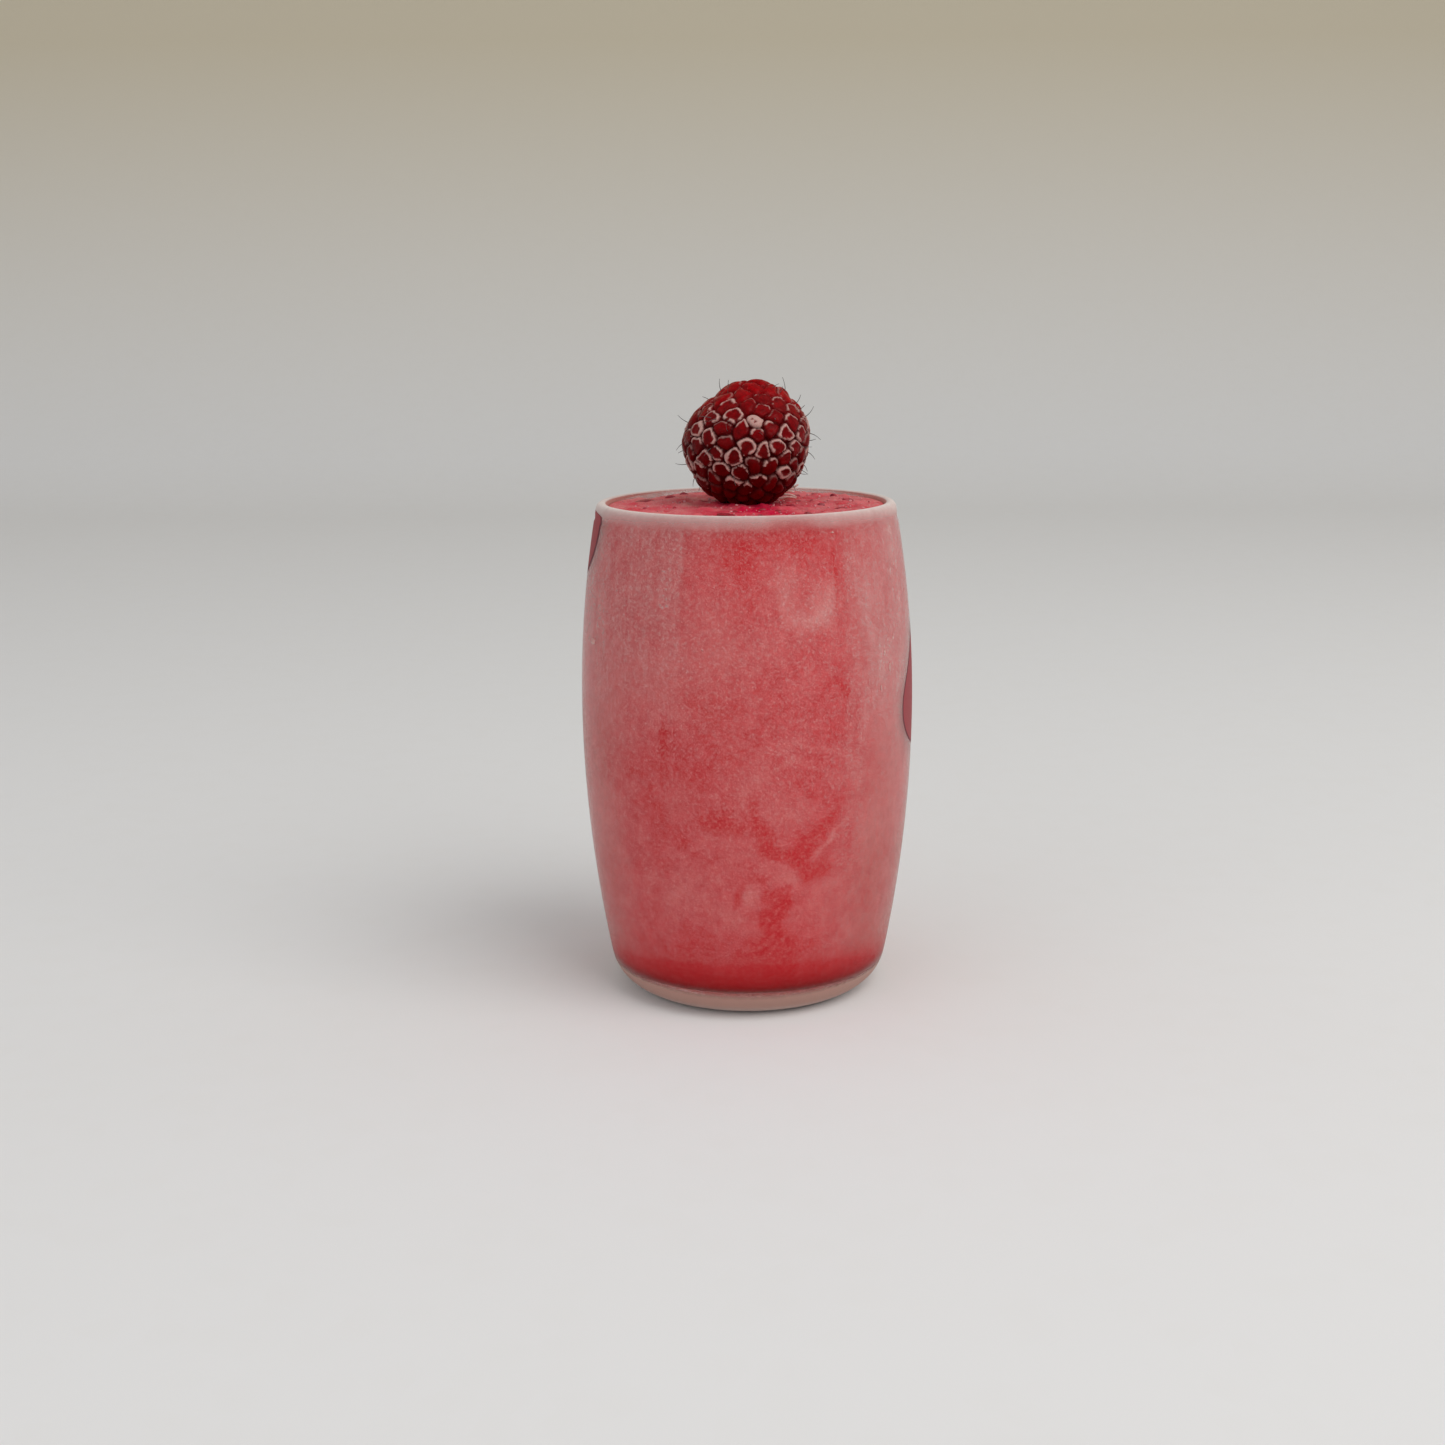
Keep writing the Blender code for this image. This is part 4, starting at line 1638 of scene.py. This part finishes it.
@dataclass
class Sorbet:
    """The filling, its mottled wall and its uneven icy top.

    large_bits gives raspberry bits by x, y and length, and strands gives frozen strands by x, y, height
    over the top and length, all in millimetres, and by slope. The solid draws a number for each of the
    solid_corners of a bit, so the bits here draw them too and then match the solid's.
    """

    tumbler: Tumbler
    berry: Raspberry
    level: float = 82.8 * MM
    mound_rise: float = 0.35 * MM
    mound_radius: float = 9.0 * MM
    top_relief: float = 0.45 * MM
    lump_size: float = 3.2 * MM
    edge_round: float = 0.5 * MM
    reach: float = 0.05 * MM
    dip_place: Vector = field(default_factory=lambda: Vector((-16.6, 15.5)) * MM)
    dip_size: float = 4.5 * MM
    dip_depth: float = 0.6 * MM
    large_bits: tuple[tuple[float, float, float], ...] = (
        (-10.6, 18.0, 1.9), (-13.0, 12.6, 2.2), (-16.6, -6.6, 1.0), (-17.2, 4.6, 3.8),
        (-2.9, -17.4, 4.0), (2.0, -17.6, 1.4), (5.0, -12.8, 1.6), (7.3, -5.6, 1.9),
        (9.7, -16.8, 1.6), (15.3, -9.0, 2.8), (12.4, -3.4, 1.6), (17.6, 3.6, 2.6),
        (15.3, 10.4, 1.5), (12.6, 14.8, 2.4),
    )
    bits: int = 28
    bit_length: tuple[float, float] = (0.9 * MM, 1.9 * MM)
    bit_height: float = 0.42 * MM
    bit_spacing: float = 2.4 * MM
    bits_from: float = 7.6 * MM
    bits_to: float = 21.2 * MM
    bits_seed: int = 11
    solid_corners: int = 12
    crystals: int = 260
    strands: tuple[tuple[float, float, float, float, float], ...] = (
        (7.0, 6.6, 0.06, 3.4, 0.10),
        (7.3, 6.9, 0.50, 3.0, -0.10),
        (7.1, 7.3, 0.94, 2.7, 0.12),
        (7.6, 7.6, 1.36, 1.8, 0.35),
        (8.3, 7.9, 1.85, 1.7, 0.80),
    )
    strand_radius: float = 0.16 * MM
    lump_facets: int = 7
    lump_cut: float = 0.85
    crystal_half: Span = (0.10, 0.30)
    front_pool: tuple[Span, Span] = ((2.0, -12), (7.5, 8))
    icy_patch: tuple[Span, Span] = ((-9.9, 10.5), (3.6, 5))
    strand_shade: tuple[Span, Span] = ((7.2, 7.6), (2.6, 2.2))
    berry_juice: float = 6.5 * MM
    columns: int = 360
    side_steps: int = 170
    top_rings: int = 90
    reddened: tuple[Mark | Swirl | Smear, ...] = (
        Mark(0, 77.5, 16, 5, 0.17),
        Mark(-8.2, 78.0, 4, 2.6, 0.30),
        Mark(20.6, 79.1, 6, 2.2, 0.35),
        Mark(0.9, 73.5, 3.4, 4.6, 0.32, lean=-30),
        Mark(33.0, 75, 0.5, 5.5, 0.95, lean=-3, crispness=3.0),
        Mark(-18.0, 52.4, 4.5, 2.6, 0.35, lean=40),
        Mark(-30.7, 47.6, 0.7, 3.6, 1.0, crispness=4.0),
        Mark(-32, 43.0, 1.3, 1.6, 0.5, lean=30),
        Mark(-36, 39.5, 11, 4, 0.38, lean=10),
        Mark(-50, 44, 6, 4, 0.50),
        Mark(0, 41, 6, 4.5, 0.24),
        Mark(-12, 55, 7, 6, 0.20),
        Mark(36.3, 55.4, 0.9, 1.2, 0.95, crispness=4.0),
        Mark(33.5, 56.6, 2.6, 0.5, 0.45, lean=12),
        Mark(-11.2, 34.4, 4.6, 2.2, 0.70, crispness=4.0),
        Mark(-5, 46, 5.0, 2.0, 0.22),
        Mark(2.6, 36.4, 0.9, 3.4, 0.65, lean=-10),
        Mark(4.6, 32.6, 1.6, 2.6, 0.85, lean=-22, crispness=3.0),
        Mark(7.4, 30.6, 1.6, 1.6, 0.50),
        Mark(9.5, 29.2, 2.2, 1.6, 1.0, crispness=4.0),
        Mark(15.5, 28.4, 2.6, 1.4, 1.0, crispness=4.0),
        Mark(20.4, 30.2, 2.4, 1.5, 0.95, lean=-35, crispness=4.0),
        Mark(27.4, 33.6, 0.9, 4.6, 0.85, lean=50),
        Mark(27.0, 26.3, 4.2, 1.8, 1.0, crispness=3.0),
        Mark(20.0, 25.2, 1.2, 1.2, 0.45),
        Mark(3.4, 25.5, 2.4, 1.0, 0.65),
        Mark(-4.2, 21.9, 0.7, 1.8, 0.80, lean=20, crispness=4.0),
        Mark(-1.6, 24.0, 1.6, 0.6, 0.60, lean=-20),
        Mark(-4, 28.5, 1.8, 1.2, 0.35),
        Smear(4.0, 14.2, 3, 24.2, 1.0, 0.9, 0.9, 1.0),
        Mark(10.4, 22.0, 2.4, 1.8, 0.5),
        Mark(10.0, 12.0, 4.4, 5.0, 0.90, crispness=3.0),
        Mark(-18, 55.5, 5.0, 2.6, 0.30),
        Mark(4, 54, 7.0, 1.6, 0.16),
        Mark(-24.2, 30.2, 0.6, 1.2, 0.60),
        Mark(-22.8, 26.2, 1.0, 0.8, 0.35),
        Mark(-16.1, 14.5, 1.0, 1.0, 0.30),
        Mark(-38.7, 20.0, 2.2, 2.6, 0.30),
        Mark(-11.6, 17.7, 1.2, 0.8, 0.40),
        Mark(-3.1, 11.5, 1.4, 1.2, 0.40),
        Mark(7, 43.0, 1.3, 0.9, 0.35),
        Mark(23, 45.0, 0.6, 1.8, 0.35),
        Swirl(16, 34.6, 8.5, 5.5, 190, 330, 0.9, 0.40),
    )
    paled: tuple[Mark | Swirl | Smear, ...] = (
        Swirl(21, 70.4, 4.6, 4.2, 90, 410, 1.7, 0.40),
        Mark(25, 68.4, 2.4, 2.4, 0.30),
        Mark(19, 69.5, 4.4, 4.2, 0.24),
        Mark(-2, 71, 3.0, 2.0, 0.18),
        Mark(-11, 64, 6.0, 5.0, 0.10),
        Mark(-13, 68, 5.0, 3.4, 0.16),
        Mark(1, 62, 9.0, 3.0, 0.16),
        Mark(-14, 58, 5.0, 4.0, 0.16, lean=-30),
        Swirl(16.5, 38.4, 8.6, 5.8, 10, 200, 0.9, 0.26),
        Swirl(18, 40.6, 11.6, 6.6, -20, 120, 0.8, 0.22),
        Mark(29.4, 31.4, 0.45, 5.2, 0.60, lean=52, crispness=4.0),
        Mark(16, 35.5, 5.0, 2.6, 0.25),
        Mark(14, 25.4, 2.2, 1.2, 0.40),
        Mark(0.3, 22.6, 1.3, 1.6, 0.40),
        Mark(-46, 58, 14, 10, 0.20),
        Mark(-26, 37.5, 4.0, 5, 0.22, lean=20),
        Mark(-30, 24, 8, 5, 0.12),
        Mark(-8, 18.5, 4, 2.0, 0.25),
        Mark(52, 34, 8, 12, 0.12),
        Mark(43, 72, 4.0, 7.0, 0.25),
        Mark(24, 17, 4, 6, 0.12),
    )

    def edge(self) -> float:
        """The radius at which the solid's top rounds down."""
        return float(self.tumbler.outer(self.level - self.edge_round)) - self.tumbler.wall - 0.3 * MM

    def underside(self, x: float, y: float) -> float:
        """The height of the raspberry's lower crests above a point, or infinity outside its girth."""
        off = math.hypot(x - self.berry.centre.x, y - self.berry.centre.y) / self.berry.radius
        return self.berry.centre.z - self.berry.down * math.sqrt(1 - off * off) if off < 1 else math.inf

    def dip(self, x: float, y: float) -> float:
        """How much lower the top lies at a point near the dip beside the rim."""
        away = (Vector((x, y)) - self.dip_place).length / self.dip_size
        return self.dip_depth * math.exp(-(away**2))

    def top_height(self, x: float, y: float) -> float:
        """The height of the uneven top, as in the solid.

        Args:
            x: the point's place from left to right.
            y: its place from front to back.

        Returns:
            The height there.
        """
        radius = math.hypot(x, y)
        mound = self.mound_rise * math.exp(-((radius / self.mound_radius) ** 2))
        spot = Vector((x, y, 0)) / self.lump_size
        relief = self.top_relief * (noise.noise(spot) + 0.5 * noise.noise(spot * 2.3 + Vector((7, 3, 1))))
        calm = min(1.0, max(0.0, (self.edge() - radius) / (3 * self.edge_round)))
        top = min(self.level + mound + relief * calm, self.underside(x, y) + 0.25 * MM)
        return top - self.dip(x, y)

    def build_body(self) -> bpy.types.Object:
        """The whole filling, which reaches just into the glass all round.

        Returns:
            The piece.
        """
        glass = self.tumbler
        bottom = [(0.0, glass.floor - self.reach), *glass.inner_corner(self.reach)]
        side = glass.inner_side(np.linspace(bottom[-1][1], self.level, self.side_steps + 1)[1:], self.reach)
        rim = side[-1][0]
        rings = [(rim * (1 - step / self.top_rings), self.level) for step in range(1, self.top_rings)]
        grid = TurnedGrid([*bottom, *side, *rings, (0.0, self.level)], self.columns)
        top = grid.rows >= len(bottom) + len(side)
        points = grid.points
        for index in np.flatnonzero(top):
            x, y, _ = points[index]
            points[index, 2] = self.top_height(x, y)
        for index in np.flatnonzero(~top & (points[:, 2] > self.level - 1.0 * MM)):
            points[index, 2] -= self.dip(points[index, 0], points[index, 1])
        fine = SmoothNoise(41).layered(points, 1.1 * MM, octaves=3)
        steps = SmoothNoise(42).layered(points, 2.6 * MM, octaves=2)
        inner = 1 - smooth_step(rim - 1.2 * MM, rim, np.hypot(points[:, 0], points[:, 1]))
        lumps = 0.10 * MM * fine + 0.16 * MM * smooth_step(0.05, 0.25, steps)
        points[:, 2] += np.where(top, inner * lumps, 0.0)
        return grid.build("sorbet_body", self.colours(points, top))

    def colours(self, points: np.ndarray, top: np.ndarray) -> Fields:
        """Redness, pallor and juice over the filling.

        Args:
            points: the filling's points.
            top: which of them belong to the top.

        Returns:
            The three fields.
        """
        warp = [SmoothNoise(seed).layered(points, 3.5 * MM, octaves=3) for seed in (51, 52)]
        moved = points + 0.7 * MM * np.stack([warp[0], warp[0], warp[1]], axis=1)
        heights = moved[:, 2]
        cloud = SmoothNoise(53).layered(points, 11 * MM, octaves=4)
        fine = SmoothNoise(54).layered(points, 2.6 * MM, octaves=3)
        small = SmoothNoise(55).layered(points, 1.3 * MM, octaves=2)
        low = 1 - smooth_step(24 * MM, 50 * MM, heights)
        band = 1 - smooth_step(5 * MM, 15 * MM, heights - 1.2 * MM * cloud)
        redness = 0.12 + 0.14 * cloud + (0.09 + 0.15 * low) * fine + 0.10 * small + 0.90 * band
        marked = self.tumbler.total(self.reddened, moved)
        redness += marked * (1 + 0.4 * fine)
        pallor = 0.06 - 0.16 * cloud - (0.04 + 0.07 * low) * fine - 0.07 * small - 0.3 * band
        pallor += self.tumbler.total(self.paled, moved) * (1 + 0.4 * fine)
        pallor *= 1 - 0.8 * np.clip(marked + band, 0, 1)
        x, y = points[:, 0], points[:, 1]
        front_pool = patch(points, *self.front_pool)
        from_berry = np.hypot(x - self.berry.centre.x, y - self.berry.centre.y)
        foot = np.exp(-((from_berry / self.berry_juice) ** 4))
        icy = patch(points, *self.icy_patch)
        juice = np.clip(front_pool * (0.95 + 0.5 * fine) + 0.9 * foot, 0, 1)
        under = patch(points, *self.strand_shade)
        redness = np.where(top, 0.14 + 0.32 * fine + 0.12 * cloud + 0.9 * under, redness)
        edge = smooth_step(15 * MM, 22 * MM, np.hypot(x, y)) * (1 - front_pool)
        pallor = np.where(top, 0.10 - 0.40 * fine + 0.5 * icy + 0.24 * edge - under, pallor)
        return {
            "redness": np.clip(redness, 0, 1),
            "pallor": np.clip(pallor, 0, 1),
            "juice": np.where(top, juice, 0.0),
            "upper": top.astype(float),
        }

    def bit_places(self) -> list[tuple[Vector, float, float]]:
        """The raspberry bits, the same as in the solid.

        Returns:
            Each bit's place, length and turn.
        """
        draw = np.random.default_rng(self.bits_seed)
        bits = []
        for x, y, length in self.large_bits:
            bits.append((Vector((x, y)) * MM, length * MM, draw.uniform(-0.4, 0.4)))
        while len(bits) < self.bits:
            radius = math.sqrt(draw.uniform(self.bits_from**2, self.bits_to**2))
            angle = draw.uniform(0, math.tau)
            spot = Vector((radius * math.cos(angle), radius * math.sin(angle)))
            if all((spot - other).length > self.bit_spacing for other, _, _ in bits):
                bits.append((spot, draw.uniform(*self.bit_length), draw.uniform(0, math.tau)))
        return bits

    def lump(self, bm: bmesh.types.BMesh, placed: Matrix, draw: np.random.Generator, fineness: int) -> None:
        """Adds one angular lump to a mesh.

        Args:
            bm: the mesh.
            placed: its place, rotation and half-sizes.
            draw: the random draw that makes it uneven.
            fineness: subdivisions of the ball that it starts from.
        """
        ball = bmesh.ops.create_icosphere(bm, subdivisions=fineness, radius=1.0)["verts"]
        facets = [(draw.normal(0, 1, 3), draw.uniform(0.62, 0.95)) for _ in range(self.lump_facets)]
        for vert in ball:
            for normal, limit in facets:
                way = Vector(normal).normalized()
                over = vert.co.dot(way) - limit
                if over > 0:
                    vert.co -= way * over * self.lump_cut
        bmesh.ops.transform(bm, matrix=placed, verts=ball)

    def build_bits(self) -> bpy.types.Object:
        """The dark red raspberry bits frozen into the top.

        Returns:
            The piece.
        """
        draw = np.random.default_rng(self.bits_seed + 1)
        shape = np.random.default_rng(self.bits_seed + 2)
        bm = bmesh.new()
        for spot, length, heading in self.bit_places():
            half = length / 2
            size = Vector((half, half * draw.uniform(0.45, 0.8), self.bit_height * draw.uniform(0.8, 1.25)))
            turn = Euler((draw.uniform(-0.2, 0.2), draw.uniform(-0.2, 0.2), heading))
            draw.uniform(0.8, 1.1, self.solid_corners)
            place = Vector((spot.x, spot.y, self.top_height(spot.x, spot.y)))
            self.lump(bm, Matrix.LocRotScale(place, turn, size), shape, 3)
        return finished_lumps("raspberry_bits", bm)

    def build_crystals(self) -> bpy.types.Object:
        """Small ice crystals and crumbs scattered over the top.

        Returns:
            The piece.
        """
        draw = np.random.default_rng(self.bits_seed + 3)
        bm = bmesh.new()
        limit = self.edge() - 0.8 * MM
        for _ in range(self.crystals):
            radius = limit * math.sqrt(draw.uniform(0.06, 1.0))
            angle = draw.uniform(0, math.tau)
            x, y = radius * math.cos(angle), radius * math.sin(angle)
            half = draw.uniform(*self.crystal_half) * MM
            size = Vector((half, half * draw.uniform(0.6, 1.0), half * draw.uniform(0.5, 0.9)))
            turn = Euler(tuple(draw.uniform(0, math.tau, 3)))
            place = Vector((x, y, self.top_height(x, y) + half * 0.4))
            self.lump(bm, Matrix.LocRotScale(place, turn, size), draw, 2)
        return finished_lumps("ice_crystals", bm)

    def build_strands(self) -> bpy.types.Object:
        """Thin frozen strands, one above another, behind the right of the berry's foot.

        Returns:
            The piece.
        """
        spines, radii = [], []
        share = np.linspace(-1, 1, 13)
        for x, y, above, length, slope in self.strands:
            half = length * MM / 2
            height = self.top_height(x * MM, y * MM) + above * MM
            bow = 0.12 * length * MM * (1 - share**2)
            rise = height + half * slope * share + bow
            spines.append(np.stack([x * MM + half * share, y * MM - 0.5 * bow, rise], axis=1))
            radii.append(self.strand_radius * (1.15 - 0.65 * share**4))
        return tubes("frost_strands", spines, radii, 10)

    def build(self, groups: EffectGroups) -> list[bpy.types.Object]:
        """Builds and dresses the filling and what is frozen into its top.

        Args:
            groups: the shared effects.

        Returns:
            The pieces.
        """
        bit_finish = CrumbFinish("raspberry_bit", (0.42, 0.008, 0.030), (0.18, 0.003, 0.010), 0.40)
        crystal_finish = CrumbFinish("ice_crystal", (0.70, 0.32, 0.33), (0.48, 0.09, 0.11), 0.25)
        strand_finish = CrumbFinish("frost_strand", (0.78, 0.56, 0.50), (0.60, 0.30, 0.27), 0.45)
        return [
            place_piece(self.build_body(), SorbetFinish().build(groups), "sorbet"),
            place_piece(self.build_bits(), bit_finish.build(groups)),
            place_piece(self.build_crystals(), crystal_finish.build(groups)),
            place_piece(self.build_strands(), strand_finish.build(groups)),
        ]


def finished_lumps(name: str, bm: bmesh.types.BMesh) -> bpy.types.Object:
    """Turns a mesh of lumps into an object with crisp edges between its facets.

    Args:
        name: the piece's name.
        bm: the mesh, which is used up.

    Returns:
        The object, linked to the scene.
    """
    mesh = bpy.data.meshes.new(name)
    bm.to_mesh(mesh)
    bm.free()
    mesh.shade_smooth()
    mesh.set_sharp_from_angle(angle=math.radians(35))
    made = bpy.data.objects.new(name, mesh)
    bpy.context.scene.collection.objects.link(made)
    return made


@dataclass
class Studio:
    """Pale paper floor and backdrop, soft lamps and the camera."""

    focal_pixels: float = 1957.0
    frame_pixels: float = 1445.0
    sensor: float = 36.0
    eye: Vector = field(default_factory=lambda: Vector((-4.2, -327.5, 117.1)) * MM)
    pitch: float = 12.33
    roll: float = -0.46
    half_width: float = 1.6
    front: float = -1.4
    bend_at: float = 0.75
    bend_radius: float = 0.45
    wall_top: float = 1.8
    sky: Colour = (0.97, 0.98, 1.0)
    sky_strength: float = 0.55
    lamp_size: float = 0.8
    middle: Vector = field(default_factory=lambda: Vector((0.0, 0.0, 0.05)))

    def build_paper(self) -> bpy.types.Object:
        """One sheet of paper: floor, a wide bend and a wall.

        Returns:
            The sheet.
        """
        bend = arc((self.bend_at, self.bend_radius), (self.bend_radius, self.bend_radius), -90, 0, 24)
        line = [(self.front, 0.0), *bend, (self.bend_at + self.bend_radius, self.wall_top)]
        points = [(side * self.half_width, y, z) for y, z in line for side in (-1, 1)]
        faces = [(2 * i, 2 * i + 1, 2 * i + 3, 2 * i + 2) for i in range(len(line) - 1)]
        return mesh_object("studio_paper", np.array(points), faces)

    def add_lamp(self, name: str, place: Sequence[float], watts: float, tint: Colour) -> None:
        """Adds a soft square lamp that points at the middle of the sorbet.

        Args:
            name: the lamp's name.
            place: where it stands.
            watts: its power.
            tint: its colour.
        """
        lamp = bpy.data.lights.new(name, "AREA")
        lamp.size = self.lamp_size
        lamp.energy = watts
        lamp.color = tint
        made = bpy.data.objects.new(name, lamp)
        made.location = place
        made.rotation_euler = (self.middle - Vector(place)).to_track_quat("-Z", "Y").to_euler()
        bpy.context.scene.collection.objects.link(made)

    def build_camera(self) -> None:
        """The photograph's viewpoint: a little above the rim, looking gently down."""
        camera = bpy.data.cameras.new("camera")
        camera.sensor_width = self.sensor
        camera.lens = self.sensor * self.focal_pixels / self.frame_pixels
        camera.clip_start = 0.01
        made = bpy.data.objects.new("camera", camera)
        tilt = Matrix.Rotation(math.radians(90 - self.pitch), 4, "X")
        roll = Matrix.Rotation(math.radians(self.roll), 4, "Z")
        made.matrix_world = Matrix.Translation(self.eye) @ tilt @ roll
        bpy.context.scene.collection.objects.link(made)
        bpy.context.scene.camera = made

    def light(self) -> None:
        """Soft even surroundings, a large lamp on the right and a weak one on the left."""
        world = bpy.data.worlds.new("soft_room")
        world.use_nodes = True
        NodeSketch(world.node_tree).fill(
            world.node_tree.nodes["Background"], {"Color": rgba(self.sky), "Strength": self.sky_strength}
        )
        bpy.context.scene.world = world
        self.add_lamp("key", (0.52, -0.47, 0.80), 5.5, (1.0, 0.98, 0.95))
        self.add_lamp("fill", (-0.7, -0.7, 0.45), 1.1, self.sky)
        bpy.context.scene.view_settings.view_transform = "Standard"

    def build(self, groups: EffectGroups) -> None:
        """Sets up the camera, the lamps and the paper.

        Args:
            groups: the shared effects.
        """
        self.build_camera()
        self.light()
        paper = self.build_paper()
        paper.data.materials.append(PaperFinish().build(groups))


def main() -> None:
    """Builds the studio, then the glass, the filling and the raspberry, and reports each piece."""
    logging.basicConfig(level=logging.INFO, format="%(message)s")
    groups = EffectGroups()
    Studio().build(groups)
    low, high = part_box("glass")
    tumbler = Tumbler(height=high.z, belly_radius=(high.x - low.x) / 2)
    berry = Raspberry()
    for part in (tumbler, Sorbet(tumbler, berry), berry):
        for piece in part.build(groups):
            mesh = piece.data
            LOG.info("%s: %d points, %d faces", piece.name, len(mesh.vertices), len(mesh.polygons))


if __name__ == "__main__":
    main()
